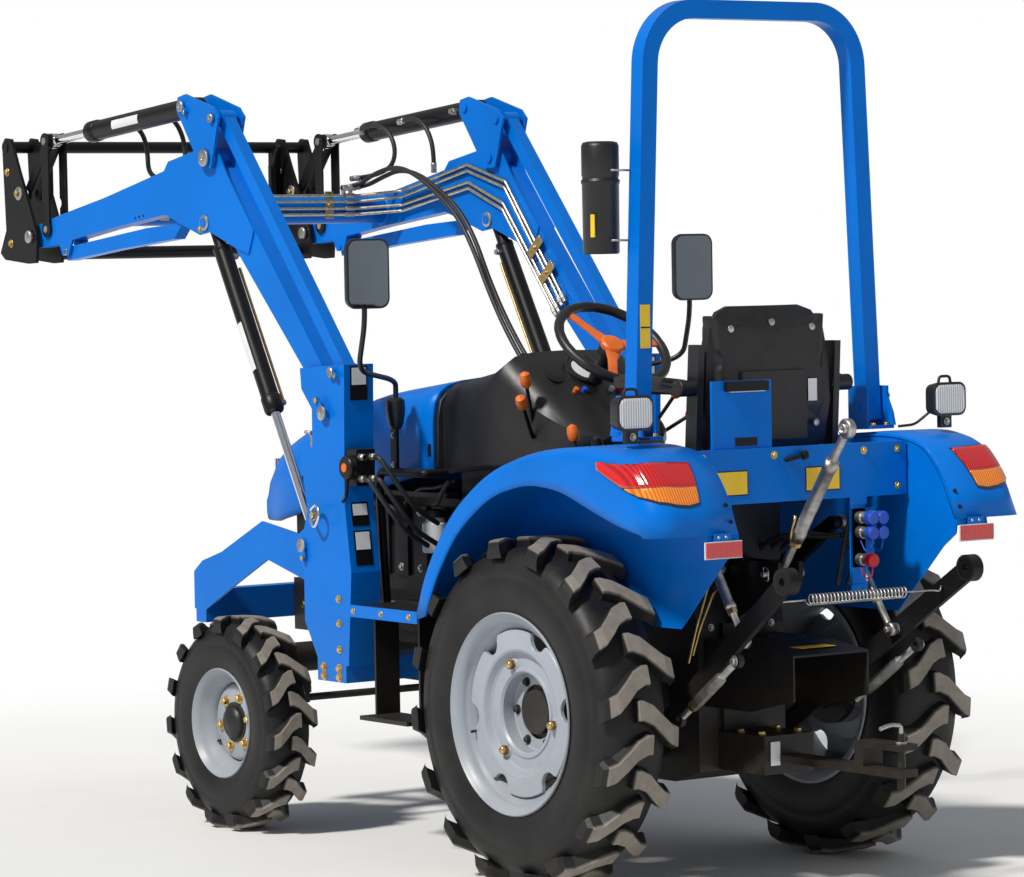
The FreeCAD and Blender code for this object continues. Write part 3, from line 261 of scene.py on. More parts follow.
# --------------------------------------------------------------------------- mesh building
def spoke(first, second, turn):
    """The direction at a turn from first towards second."""
    return first * math.cos(turn) + second * math.sin(turn)


def frame_of(direction):
    """Two unit vectors square to a direction."""
    direction = direction.normalized()
    helper = Z_AXIS if abs(direction.z) < 0.9 else X_AXIS
    first = direction.cross(helper).normalized()
    return first, direction.cross(first).normalized()


class Piece:
    """One object of several joined shapes, each with its own material."""

    def __init__(self, name, body, slot, material):
        self.name = name
        self.body = body
        self.slot = slot
        self.materials = []
        self.mesh = bmesh.new()
        self.use(material)

    def use(self, material):
        if material not in self.materials:
            self.materials.append(material)
        self.index = self.materials.index(material)
        return self

    def face(self, corners, smooth=False):
        try:
            face = self.mesh.faces.new(corners)
        except ValueError:
            return
        face.material_index = self.index
        face.smooth = smooth

    def rings(self, rings, smooth=True, closed=False, capped=True):
        """A skin over rings of points, each ring with as many points."""
        made = [[self.mesh.verts.new(point) for point in ring] for ring in rings]
        count = len(made[0])
        pairs = list(zip(made, made[1:]))
        if closed:
            pairs.append((made[-1], made[0]))
        for first, second in pairs:
            for index in range(count):
                following = (index + 1) % count
                self.face([first[index], first[following], second[following], second[index]], smooth)
        if capped and not closed:
            self.face(list(reversed(made[0])))
            self.face(made[-1])

    def box(self, low, high):
        low, high = Vector(low), Vector(high)
        ring = [(low.x, low.y), (high.x, low.y), (high.x, high.y), (low.x, high.y)]
        self.rings([[Vector((x, y, z)) for x, y in ring] for z in (low.z, high.z)], smooth=False)

    def mirrored_box(self, side, low, high):
        """A box between two corners of the left side, from the rear axle, put on either side."""
        near, far = sorted((side * low[1], side * high[1]))
        self.box(place(low[0], near, low[2]), place(high[0], far, high[2]))

    def slab(self, outline, low_y, high_y):
        """A side-view outline of (x, z) points from the rear axle, thick along Y."""
        self.rings([[place(x, y, z) for x, z in outline] for y in (low_y, high_y)], smooth=False)

    def turned(self, at, axis, profile, segments=48, smooth=True, capped=False):
        """A profile of (along, radius) turned about an axis through a point."""
        axis = Vector(axis).normalized()
        first, second = frame_of(axis)
        rings = []
        for along, radius in profile:
            middle = Vector(at) + axis * along
            rings.append([middle + spoke(first, second, turn) * radius
                          for turn in (2 * math.pi * step / segments for step in range(segments))])
        self.rings(rings, smooth=smooth, capped=capped)

    def rod(self, start, end, radius, segments=20):
        run = Vector(end) - Vector(start)
        edge = min(radius * 0.25, 0.0015)
        self.turned(start, run, [(0, radius - edge), (edge, radius), (run.length - edge, radius),
                                 (run.length, radius - edge)], segments, capped=True)

    def tube(self, points, radius, segments=12, corner=0.35):
        """A round bar along a route whose corners are rounded off."""
        self.sweep(rounded_route([Vector(point) for point in points], corner), radius, segments)

    def sweep(self, route, radius, segments=12):
        """A round tube along a line of close points."""
        rings = []
        side = None
        for index, point in enumerate(route):
            ahead = route[min(index + 1, len(route) - 1)] - route[max(index - 1, 0)]
            if side is None:
                side = frame_of(ahead)[0]
            side = (side - ahead.normalized() * side.dot(ahead.normalized())).normalized()
            other = ahead.normalized().cross(side)
            rings.append([point + spoke(side, other, turn) * radius
                          for turn in (2 * math.pi * step / segments for step in range(segments))])
        self.rings(rings)

    def bolt(self, at, axis, radius, height=None, washer=True):
        """A hexagon head on its washer, standing on a face that looks along axis."""
        at, axis = Vector(at), Vector(axis).normalized()
        height = height or radius * 0.75
        if washer:
            self.turned(at, axis, [(0, radius * 1.5), (radius * 0.2, radius * 1.5)], 20, capped=True)
        self.turned(at + axis * radius * 0.2, axis,
                    [(0, radius), (height * 0.85, radius), (height, radius * 0.82)], 6,
                    smooth=False, capped=True)

    def build(self, bevel=0.0015, segments=2, angle=40):
        mesh = bpy.data.meshes.new(self.name)
        bmesh.ops.recalc_face_normals(self.mesh, faces=self.mesh.faces)
        self.mesh.to_mesh(mesh)
        self.mesh.free()
        for material in self.materials:
            mesh.materials.append(material)
        thing = bpy.data.objects.new(self.name, mesh)
        bpy.context.scene.collection.objects.link(thing)
        if bevel:
            modifier = thing.modifiers.new("edges", "BEVEL")
            modifier.width = bevel
            modifier.segments = segments
            modifier.limit_method = "ANGLE"
            modifier.angle_limit = math.radians(angle)
            modifier.harden_normals = True
        if self.body:
            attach(thing, self.body)
        return thing


def rounded_route(points, share):
    """The points with each inner corner turned into a short curve."""
    route = [points[0]]
    for before, corner, after in zip(points, points[1:], points[2:]):
        start = corner.lerp(before, share)
        end = corner.lerp(after, share)
        for step in range(9):
            amount = step / 8
            route.append(start.lerp(corner, amount).lerp(corner.lerp(end, amount), amount))
    route.append(points[-1])
    return route


def both(make):
    for name, side in SIDES.items():
        make(name, side)


# --------------------------------------------------------------------------- carried-over CAD nodes
NODE_MATERIALS = {
    "hood": BLUE, "boom": BLUE, "bellcranks": BLUE, "level_links": BLUE, "front_guard": BLUE,
    "loader_crossbeam": BLUE, "rops_hoop": BLUE, "rops_bases": BLUE, "rear_panel": BLUE,
    "parking_stands": BLUE, "mast_left": BLUE, "mast_right": BLUE, "fender_left": BLUE,
    "fender_right": BLUE, "cowl": PLASTIC, "steering_wheel": PLASTIC, "mirrors": PLASTIC,
    "manual_canister": PLASTIC, "work_lamps": PLASTIC, "tail_lamps": RED_LENS,
    "seat_frame": PLASTIC, "lift_rods": CHROME, "tilt_rods": CHROME, "tip_pins": ZINC,
    "guide_pins": ZINC, "top_pins": ZINC, "hydraulic_pipes": ZINC, "lift_links": GALVANISED,
    "top_link": GALVANISED, "stabilisers": GALVANISED, "link_spring": ZINC,
    "transmission_housing": CAST, "engine_block": CAST, "front_frame": CAST,
    "front_axle_beam": CAST, "knuckle_left": CAST, "knuckle_right": CAST, "tie_rod": CAST,
}


def finish_cad_nodes():
    """A material and softened edges on every node that shows its own CAD shape."""
    for name, thing in nodes.items():
        thing.data.materials.clear()
        thing.data.materials.append(NODE_MATERIALS.get(name, BLACK))
        modifier = thing.modifiers.new("edges", "BEVEL")
        modifier.width = 0.0018
        modifier.segments = 2
        modifier.limit_method = "ANGLE"
        modifier.angle_limit = math.radians(35)


# --------------------------------------------------------------------------- tyres and wheels
def tyre_profile(radius, half_width, bead):
    """(along, radius) from one bead over the crown to the other, without the lugs."""
    rise = radius - bead
    half = [(0.80, 0.0), (0.86, 0.05), (0.87, 0.09), (0.95, 0.22), (0.985, 0.42), (0.97, 0.55),
            (0.945, 0.60), (0.955, 0.63), (0.90, 0.80), (0.70, 0.94), (0.40, 0.985), (0.0, 1.0)]
    outer = [(half_width * along, bead + rise * up) for along, up in half]
    return [(-along, up) for along, up in outer] + list(reversed(outer[:-1]))


def make_tyre(node, body, lugs, lug_height, lug_width, sweep):
    """A ribbed carcass with two rows of slanted lugs whose points meet near the middle."""
    low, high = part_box(node)
    at = (low + high) / 2
    radius, half_width = (high.z - low.z) / 2, (high.y - low.y) / 2
    bead = radius * (0.537 if "rear" in node else 0.477)
    carcass = radius - lug_height
    piece = Piece(f"{node}_treaded", body, "tyre_rubber", TYRE)
    profile = tyre_profile(carcass, half_width * 0.97, bead)
    inside = [(half_width * 0.70, bead), (half_width * 0.80, bead + 0.03), (0.0, carcass - 0.02)]
    inner = [(along, up) for along, up in inside] + [(-along, up) for along, up in inside[-2::-1]]
    piece.turned(at, Y_AXIS, profile + inner + profile[:1], 96)
    for row in (LEFT, RIGHT):
        for index in range(lugs):
            start = 2 * math.pi * (index + (0.25 if row == LEFT else 0.75)) / lugs
            make_lug(piece, at, row, start, sweep, radius, carcass, half_width, lug_width)
    thing = piece.build(bevel=0.0025, segments=1)
    mark_lug_tops(thing, at, carcass)
    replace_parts(thing, node)


def make_lug(piece, at, row, start, sweep, radius, carcass, half_width, width):
    stations = [(-0.20, 0.06, 1.0), (-0.06, 0.06, 1.0), (0.20, 0.20, 1.0), (0.42, 0.46, 1.0),
                (0.70, 0.76, 0.99),
                (0.90, 0.86, 0.93), (0.985, 0.95, 0.72), (0.99, 0.98, 0.50)]
    rings = []
    rise = radius - carcass
    for across, along, lift in stations:
        turn = start + sweep * along
        y = row * half_width * across
        crown = carcass - (0.35 * rise if across > 0.8 else 0.12 * rise) * max(across, 0)
        top = radius - (1 - lift) * rise * 3.2
        foot = min(crown - 0.012, top - 0.012)
        ring = []
        for level, share in ((foot, 0.72), (top, 0.5), (top, -0.5), (foot, -0.72)):
            angle = turn + share * width / radius
            ring.append(at + Vector((math.cos(angle) * level, y, math.sin(angle) * level)))
        rings.append(ring)
    piece.rings(rings, smooth=False)


def tyre_material():
    """Worn rubber, with dust where the surface is far from the axle."""
    material, tree, shader = new_material("tyre_rubber")
    rubber = ramp(tree, noise(tree, 9, 6), [(0.3, (0.006, 0.006, 0.007)), (0.75, (0.020, 0.019, 0.018))])
    attribute = tree.nodes.new("ShaderNodeAttribute")
    attribute.attribute_name = "lug_top"
    top = remap(tree, attribute.outputs["Fac"], 0.72, 1, 0, 1)
    dusty = blend_colour(tree, multiply(tree, top, span(tree, noise(tree, 30, 8), 0.35, 1.0)),
                         rubber, (0.36, 0.32, 0.27))
    tree.links.new(dusty, shader.inputs["Base Color"])
    tree.links.new(span(tree, noise(tree, 18), 0.36, 0.62), shader.inputs["Roughness"])
    shader.inputs["Specular IOR Level"].default_value = 0.3
    bump(tree, shader, noise(tree, 120, 6), 0.35, 0.0015)
    return material


TYRE = tyre_material()


def mark_lug_tops(thing, at, carcass):
    """Vertices outside the carcass are marked, so that the lugs' tops look dusty."""
    attribute = thing.data.attributes.new("lug_top", "FLOAT", "POINT")
    for index, vertex in enumerate(thing.data.vertices):
        out = math.hypot(vertex.co.x - at.x, vertex.co.z - at.z)
        attribute.data[index].value = min(max((out - carcass) * 60, 0), 1)


def make_rear_wheel(name, side):
    """Deep rim with a notched disc near its outer lip, dished in to an open hub."""
    node = f"rear_wheel_{name}"
    at = centre(f"rear_tyre_{name}")
    at.y = joint_at(f"rear_{name}_wheel_spin").y
    out = Vector((0, side, 0))
    radius, edge = size(node).x / 2, size(node).y / 2
    piece = Piece(f"{node}_pressed", f"rear_{name}_wheel", "wheel_silver", SILVER)
    barrel = [(edge, radius - 0.004), (edge - 0.004, radius), (edge - 0.010, radius - 0.006),
              (edge - 0.014, radius - 0.020), (edge - 0.034, radius - 0.024), (edge - 0.042, radius - 0.044),
              (edge - 0.150, radius - 0.050), (0.012 - edge, radius - 0.024), (0.010 - edge, radius - 0.006),
              (0.004 - edge, radius), (-edge, radius - 0.004)]
    inner = [(0.006 - edge, radius - 0.012), (0.014 - edge, radius - 0.030),
             (edge - 0.152, radius - 0.056), (edge - 0.050, radius - 0.052), (edge - 0.042, radius - 0.034),
             (edge - 0.030, radius - 0.029), (edge - 0.018, radius - 0.026), (edge - 0.008, radius - 0.012)]
    piece.turned(at, out, barrel + inner + barrel[:1], 128)
    face = edge - 0.037
    dish = [(face - 0.012, 0.226, 0.036), (face - 0.002, 0.226, 0.036), (face, 0.224, 0.036),
            (face, 0.174, 0.0),
            (face - 0.003, 0.168, 0.0), (face - 0.017, 0.158, 0.0), (face - 0.022, 0.151, 0.0),
            (face - 0.022, 0.124, 0.0), (face - 0.018, 0.121, 0.0), (face - 0.018, 0.113, 0.0),
            (face - 0.024, 0.107, 0.0), (face - 0.058, 0.105, 0.0), (face - 0.061, 0.100, 0.0),
            (face - 0.061, 0.074, 0.0), (face - 0.068, 0.074, 0.0), (face - 0.068, 0.111, 0.0),
            (face - 0.034, 0.113, 0.0), (face - 0.030, 0.158, 0.0), (face - 0.012, 0.178, 0.0)]
    add_notched_disc(piece, at, out, dish, 6, math.radians(6))
    piece.use(RUST)
    first, second = frame_of(out)
    for index in range(3):
        turn = math.radians(120 * index + 51)
        spot = at + spoke(first, second, turn) * 0.137
        piece.use(SILVER).turned(spot + out * (face - 0.022), out, [(0, 0.020), (0.004, 0.018), (0.004, 0.0)],
                                 28)
        piece.use(GOLD).turned(spot + out * (face - 0.018), out,
                               [(0, 0.0105), (0.018, 0.0105), (0.020, 0.008), (0.020, 0.0)], 16)
        piece.use(RUST).bolt(spot + out * (face - 0.018), out, 0.014, 0.012, washer=False)
    piece.use(CAST)
    for index in range(6):
        turn = math.radians(60 * index)
        spot = at + spoke(first, second, turn) * 0.090
        piece.bolt(spot + out * (face - 0.061), out, 0.009, 0.010)
    piece.use(RUBBER)
    stem = at + (first * math.cos(0.3) + second * math.sin(0.3)) * (radius - 0.060)
    piece.rod(stem + out * (face - 0.006), stem + out * (face + 0.020) - first * 0.008, 0.004, 10)
    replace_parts(piece.build(bevel=0), node)


def add_notched_disc(piece, at, out, profile, notches, lead, segments=240):
    """A pressed disc of (along, radius, notch depth), turned about out, with half-round notches."""
    first, second = frame_of(out)
    rings = []
    for along, reach, depth in profile:
        ring = []
        for step in range(segments):
            turn = 2 * math.pi * step / segments
            swing = (abs(((turn - lead) * notches / (2 * math.pi) + 0.5) % 1 - 0.5)
                     * 2 * math.pi / notches * reach)
            bite = math.sqrt(max(depth * depth - swing * swing, 0)) if depth else 0
            ring.append(at + out * along + spoke(first, second, turn) * (reach - bite))
        rings.append(ring)
    piece.rings(rings, smooth=False, closed=True)


def make_front_wheel(name, side):
    node = f"front_wheel_{name}"
    at = centre(f"front_tyre_{name}")
    at.y = joint_at(f"front_{name}_wheel_spin").y
    out = Vector((0, side, 0))
    radius, edge = size(node).x / 2, 0.074
    piece = Piece(f"{node}_pressed", f"front_{name}_wheel", "wheel_silver", SILVER)
    barrel = [(edge, radius - 0.004), (edge - 0.004, radius), (edge - 0.010, radius - 0.006),
              (edge - 0.014, radius - 0.018), (edge - 0.030, radius - 0.021), (edge - 0.040, radius - 0.038),
              (edge - 0.090, radius - 0.042), (0.012 - edge, radius - 0.020), (0.008 - edge, radius - 0.004),
              (-edge, radius - 0.004)]
    inner = [(0.014 - edge, radius - 0.026), (edge - 0.092, radius - 0.048), (edge - 0.046, radius - 0.044),
             (edge - 0.034, radius - 0.027), (edge - 0.020, radius - 0.024), (edge - 0.008, radius - 0.012)]
    piece.turned(at, out, barrel + inner + barrel[:1], 80)
    face = 0.018
    piece.turned(at, out, [(-0.010, radius - 0.044), (0.0, radius - 0.047), (face - 0.004, 0.112),
                           (face, 0.106), (face, 0.0)], 80)
    piece.turned(at, out, [(-0.018, radius - 0.046), (face - 0.010, 0.108), (face - 0.008, 0.0)], 80)
    piece.use(GOLD)
    first, second = frame_of(out)
    for index in range(6):
        turn = math.radians(60 * index + 10)
        spot = at + spoke(first, second, turn) * 0.078
        piece.bolt(spot + out * face, out, 0.011, 0.013)
    piece.use(PLASTIC)
    piece.turned(at, out, [(face, 0.050), (face + 0.010, 0.050), (face + 0.018, 0.044), (face + 0.026, 0.028),
                           (face + 0.030, 0.0)], 48)
    piece.use(RUBBER)
    stem = at + (first * math.cos(0.6) + second * math.sin(0.6)) * (radius - 0.052)
    piece.rod(stem - out * 0.01, stem + out * 0.026, 0.004, 10)
    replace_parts(piece.build(bevel=0), node)


for side_name, wheel_side in SIDES.items():
    make_tyre(f"rear_tyre_{side_name}", f"rear_{side_name}_wheel", lugs=16, lug_height=0.027,
              lug_width=0.052, sweep=math.radians(12))
    make_tyre(f"front_tyre_{side_name}", f"front_{side_name}_wheel", lugs=15, lug_height=0.022,
              lug_width=0.042, sweep=math.radians(14))
    make_rear_wheel(side_name, wheel_side)
    make_front_wheel(side_name, wheel_side)


finish_cad_nodes()


# --------------------------------------------------------------------------- bodywork
def smooth_step(value):
    value = min(max(value, 0.0), 1.0)
    return value * value * (3 - 2 * value)


def fender_route():
    """The crown and the lip below it, as two side-view routes with as many points."""
    crown = [(0.438, 0.718), (0.383, 0.850), (0.263, 1.008), (0.080, 1.128), (-0.140, 1.190),
             (-0.400, 1.209), (-0.560, 1.187), (-0.640, 1.106), (-0.700, 0.980)]
    lip = [(0.376, 0.718), (0.325, 0.822), (0.220, 0.955), (0.060, 1.060), (-0.110, 1.100),
           (-0.260, 1.088), (-0.400, 1.040), (-0.520, 1.003), (-0.612, 0.984)]
    return [rounded_route([Vector((x, 0, z)) for x, z in line], 0.42) for line in (crown, lip)]


def fender_section(crown, lip, outward):
    """(y, point) pairs over the crown, round the outer corner and down to the lip."""
    blend = smooth_step((-0.30 - crown.x) / 0.28)
    corner = 0.026 + 0.050 * blend
    outward = Vector((outward.x, 0,
                      outward.z * (1 - 0.9 * smooth_step((-0.62 - crown.x) / 0.07)))).normalized()
    section = [(0.372, crown - outward * 0.008), (0.378, crown), (0.480, crown + outward * 0.001),
               (0.628 - corner, crown)]
    for step in range(1, 9):
        turn = math.radians(90 * step / 8)
        section.append((0.628 - corner + corner * math.sin(turn),
                        crown - outward * (corner - corner * math.cos(turn))))
    bottom = crown - outward * corner
    section += [(0.628, bottom.lerp(lip, 0.35)), (0.628, bottom.lerp(lip, 0.7)), (0.628, lip)]
    return section, outward


def make_fender(name, side):
    """A pressed fender: curved crown, rolled outer edge with a lip, and a flat inner wall."""
    crown, lip = fender_route()
    piece = Piece(f"fender_{name}_pressed", "chassis", "blue_paint", BLUE)
    rings, outside = [], []
    for index, (point, low) in enumerate(zip(crown, lip)):
        ahead = (crown[min(index + 1, len(crown) - 1)] - crown[max(index - 1, 0)]).normalized()
        section, outward = fender_section(point, low, Vector((ahead.z, 0, -ahead.x)))
        ring = [AXLE + spot + Y_AXIS * side * y for y, spot in section]
        inner = [AXLE + spot - outward * 0.005 * (1 if y < 0.60 else 0.4)
                 + Y_AXIS * side * (y - 0.005 * (y > 0.60)) for y, spot in reversed(section)]
        rings.append(ring + inner)
        outside.append(ring)
    piece.rings(rings, smooth=True)
    wall = [(point.x, point.z - 0.004) for point in crown[::3]]
    wall += [(-0.695, 0.972), (-0.690, 0.940), (-0.640, 0.905), (-0.450, 0.718)]
    piece.slab(wall, side * 0.3725, side * 0.3770)
    piece.rings([[place(x, side * y, z) for x, z in ((-0.698, 0.962), (-0.694, 0.986), (-0.690, 0.962))]
                 for y in (0.374, 0.480)], smooth=False)
    piece.use(BLACK)
    for x, z in ((-0.664, 1.052), (-0.684, 1.010)):
        piece.bolt(place(x, side * 0.392, z), Vector((-0.9, 0, 0.45)), 0.006, 0.005)
    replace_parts(piece.build(bevel=0), f"fender_{name}")
    return outer_skin(outside, place(-0.2, side * 0.45, 0.7))


def outer_skin(rings, middle):
    """A sheet through rings of points, facing away from middle, for lamps to lie on."""
    mesh = bmesh.new()
    made = [[mesh.verts.new(point) for point in ring] for ring in rings]
    for first, second in zip(made, made[1:]):
        for index in range(len(first) - 1):
            mesh.faces.new((first[index], first[index + 1], second[index + 1], second[index]))
    mesh.normal_update()
    facing = sum(face.normal.dot(face.calc_center_median() - middle) for face in mesh.faces)
    if facing < 0:
        bmesh.ops.reverse_faces(mesh, faces=mesh.faces)
    data = bpy.data.meshes.new("fender_skin")
    mesh.to_mesh(data)
    mesh.free()
    thing = bpy.data.objects.new("fender_skin", data)
    bpy.context.scene.collection.objects.link(thing)
    return thing


LAMP_TOP = [(-0.430, 0.640, 1.170), (-0.470, 0.640, 1.171), (-0.520, 0.636, 1.173), (-0.560, 0.616, 1.175),
            (-0.585, 0.580, 1.176), (-0.592, 0.540, 1.176), (-0.594, 0.500, 1.174), (-0.596, 0.452, 1.170)]
LAMP_FOOT = [(-0.434, 0.640, 1.148), (-0.490, 0.640, 1.124), (-0.545, 0.640, 1.103), (-0.600, 0.624, 1.084),
             (-0.645, 0.592, 1.070), (-0.664, 0.550, 1.063), (-0.672, 0.510, 1.062), (-0.668, 0.478, 1.066)]
LAMP_SEAM = 1.104


def along_points(points, share):
    """The place a share of the way through a list of points."""
    spot = share * (len(points) - 1)
    index = min(max(int(spot), 0), len(points) - 2)
    return Vector(points[index]).lerp(Vector(points[index + 1]), spot - index)


def patch(name, side, skin, highest, lowest, start, margin, lift, material):
    """The part of a lamp between two levels, as a thick skin on the fender's rear outer corner."""
    mesh = bmesh.new()
    columns, rows = 44, 8
    grid = []
    for column in range(columns + 1):
        along = start - margin + (1 - start + 2 * margin) * column / columns
        upper, lower = along_points(LAMP_TOP, along), along_points(LAMP_FOOT, along)
        drop = upper.z - lower.z
        first = max((upper.z - highest) / drop, 0) - 4 * margin
        last = min((upper.z - lowest) / drop, 1) + 4 * margin
        line = []
        for row in range(rows + 1):
            point = upper.lerp(lower, first + (last - first) * row / rows)
            line.append(mesh.verts.new(place(point.x, side * point.y, point.z)))
        grid.append(line)
    for first, second in zip(grid, grid[1:]):
        for row in range(rows):
            corners = [first[row], first[row + 1], second[row + 1], second[row]]
            mesh.faces.new(corners if side == LEFT else list(reversed(corners))).smooth = True
    data = bpy.data.meshes.new(name)
    mesh.to_mesh(data)
    mesh.free()
    data.materials.append(material)
    thing = bpy.data.objects.new(name, data)
    bpy.context.scene.collection.objects.link(thing)
    wrap = thing.modifiers.new("lie", "SHRINKWRAP")
    wrap.target = skin
    wrap.wrap_method = "NEAREST_SURFACEPOINT"
    wrap.wrap_mode = "ABOVE_SURFACE"
    wrap.offset = lift
    thick = thing.modifiers.new("thick", "SOLIDIFY")
    thick.thickness = lift + 0.002
    thick.offset = -1
    apply_all(thing)
    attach(thing, "chassis")
    return thing


def apply_all(thing):
    """The mesh takes the shape its modifiers give it."""
    evaluated = thing.evaluated_get(bpy.context.evaluated_depsgraph_get())
    mesh = bpy.data.meshes.new_from_object(evaluated)
    thing.modifiers.clear()
    thing.data = mesh


def lamp_corner(name, side, skin):
    """A lamp that wraps the fender's rear outer corner: red above, an amber wedge below its inner end."""
    patch(f"tail_lamp_seal_{name}", side, skin, 2, 0, 0, 0.012, 0.0025, PLASTIC)
    red = patch(f"tail_lamp_red_{name}", side, skin, 2, LAMP_SEAM + 0.0006, 0, 0, 0.0060, RED_LENS)
    wedge = next(share / 100 for share in range(100) if along_points(LAMP_FOOT,
                                                                     share / 100).z < LAMP_SEAM - 0.003)
    patch(f"tail_lamp_amber_{name}", side, skin, LAMP_SEAM - 0.0006, 0, wedge, 0, 0.0060, AMBER_LENS)
    bpy.data.objects.remove(skin)
    return red


def make_reflector(name, side):
    piece = Piece(f"reflector_{name}", "chassis", "lamp", BLUE)
    piece.mirrored_box(side, (-0.704, 0.405, 0.940), (-0.7015, 0.461, 0.984))
    piece.use(GALVANISED)
    for y in (0.421, 0.445):
        piece.turned(place(-0.704, side * y, 0.974), -X_AXIS, [(0, 0.0045), (0.002, 0.0035), (0.0025, 0.0)],
                     14)
    low, high = sorted((side * 0.372, side * 0.494))
    piece.use(WHITE).box(place(-0.708, low, 0.919), place(-0.704, high, 0.964))
    # the red lens shares the tail lamps' faint emission, so this reflector, which is no lamp, glows: a
    # painted glow
    piece.use(RED_LENS).box(place(-0.7115, low + 0.003, 0.922), place(-0.708, high - 0.003, 0.961))
    piece.build(bevel=0.001)


def hood_line(x):
    """Height of the hood's ridge at a distance ahead of the rear axle."""
    stations = [(0.822, 1.356), (1.185, 1.311), (1.485, 1.233), (1.618, 1.187), (1.745, 1.128),
                (1.782, 1.070), (1.785, 1.0)]
    for (ahead, top), (next_ahead, next_top) in zip(stations, stations[1:]):
        if x <= next_ahead:
            return top + (next_top - top) * (x - ahead) / (next_ahead - ahead)
    return stations[-1][1]


def make_hood():
    """Hood skin: crowned top, creased shoulders, side air slots, grille and lamps."""
    piece = Piece("hood_pressed", "bonnet", "blue_paint", BLUE)
    stops = [0.826, 0.90, 1.0, 1.1, 1.2, 1.3, 1.4, 1.5, 1.58, 1.64, 1.69, 1.73, 1.757, 1.774, 1.783]
    rings = []
    for x in stops:
        top = hood_line(x)
        half = 0.284 - 0.030 * smooth_step((x - 1.55) / 0.235) ** 2
        bottom = 1.094 - (x - 0.822) * 0.212
        if x > 1.70:
            bottom = 0.908
        shoulder = min(0.060, (top - bottom) * 0.3)
        section = [(0.0, top), (half * 0.35, top - 0.002), (half * 0.62, top - 0.009),
                   (half * 0.80, top - 0.022), (half * 0.90, top - 0.040),
                   (half * 0.965, top - shoulder - 0.010),
                   (half * 0.99, top - shoulder - 0.045),
                   (half, top - shoulder - 0.100 * min(1, (top - bottom) * 3)),
                   (half, bottom + 0.02), (half - 0.004, bottom)]
        full = [(-y, z) for y, z in reversed(section[1:])] + section
        inner = [(y * 0.975, z - 0.005) for y, z in reversed(full)]
        rings.append([place(x, y, z) for y, z in full + inner])
    piece.rings(rings, smooth=True)
    nose = rings[-1][:len(rings[-1]) // 2]
    centre_of_nose = sum(nose, Vector()) / len(nose)
    piece.use(PLASTIC)
    lower = [point.lerp(centre_of_nose, 0.05) + Vector((-0.004, 0, 0)) for point in nose]
    piece.rings([lower, [point + Vector((0.003, 0, 0)) for point in lower]], smooth=False)
    for level in range(7):
        z = 0.925 + 0.016 * level
        piece.box(place(1.781, -0.19, z), place(1.7845, 0.19, z + 0.006))
    piece.use(CLEAR_LENS)
    for side in (LEFT, RIGHT):
        piece.mirrored_box(side, (1.775, 0.120, 1.045), (1.785, 0.225, 1.092))
    piece.use(BLACK)
    for side in (LEFT, RIGHT):
        for slot in range(6):
            x = 1.30 + 0.045 * slot
            low, high = sorted((side * 0.2835, side * 0.2853))
            bottom = 1.094 - (x - 0.822) * 0.212 + 0.035
            piece.box(place(x, low, bottom), place(x + 0.022, high, bottom + 0.07))
        piece.mirrored_box(side, (0.835, 0.2832, 1.13), (0.852, 0.2855, 1.165))
    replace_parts(piece.build(bevel=0), "hood")
    seam = Piece("hood_seal", "chassis", "black_plastic", RUBBER)
    rings = []
    for x in (0.806, 0.821):
        section = [(0.0, 1.352), (0.10, 1.350), (0.18, 1.343), (0.235, 1.322), (0.266, 1.290), (0.276, 1.240),
                   (0.279, 1.10)]
        full = [(-y, z) for y, z in reversed(section[1:])] + section
        inner = [(y * 0.94, z - 0.012) for y, z in reversed(full)]
        rings.append([place(x, y, z) for y, z in full + inner])
    seam.rings(rings, smooth=True)
    seam.build(bevel=0)


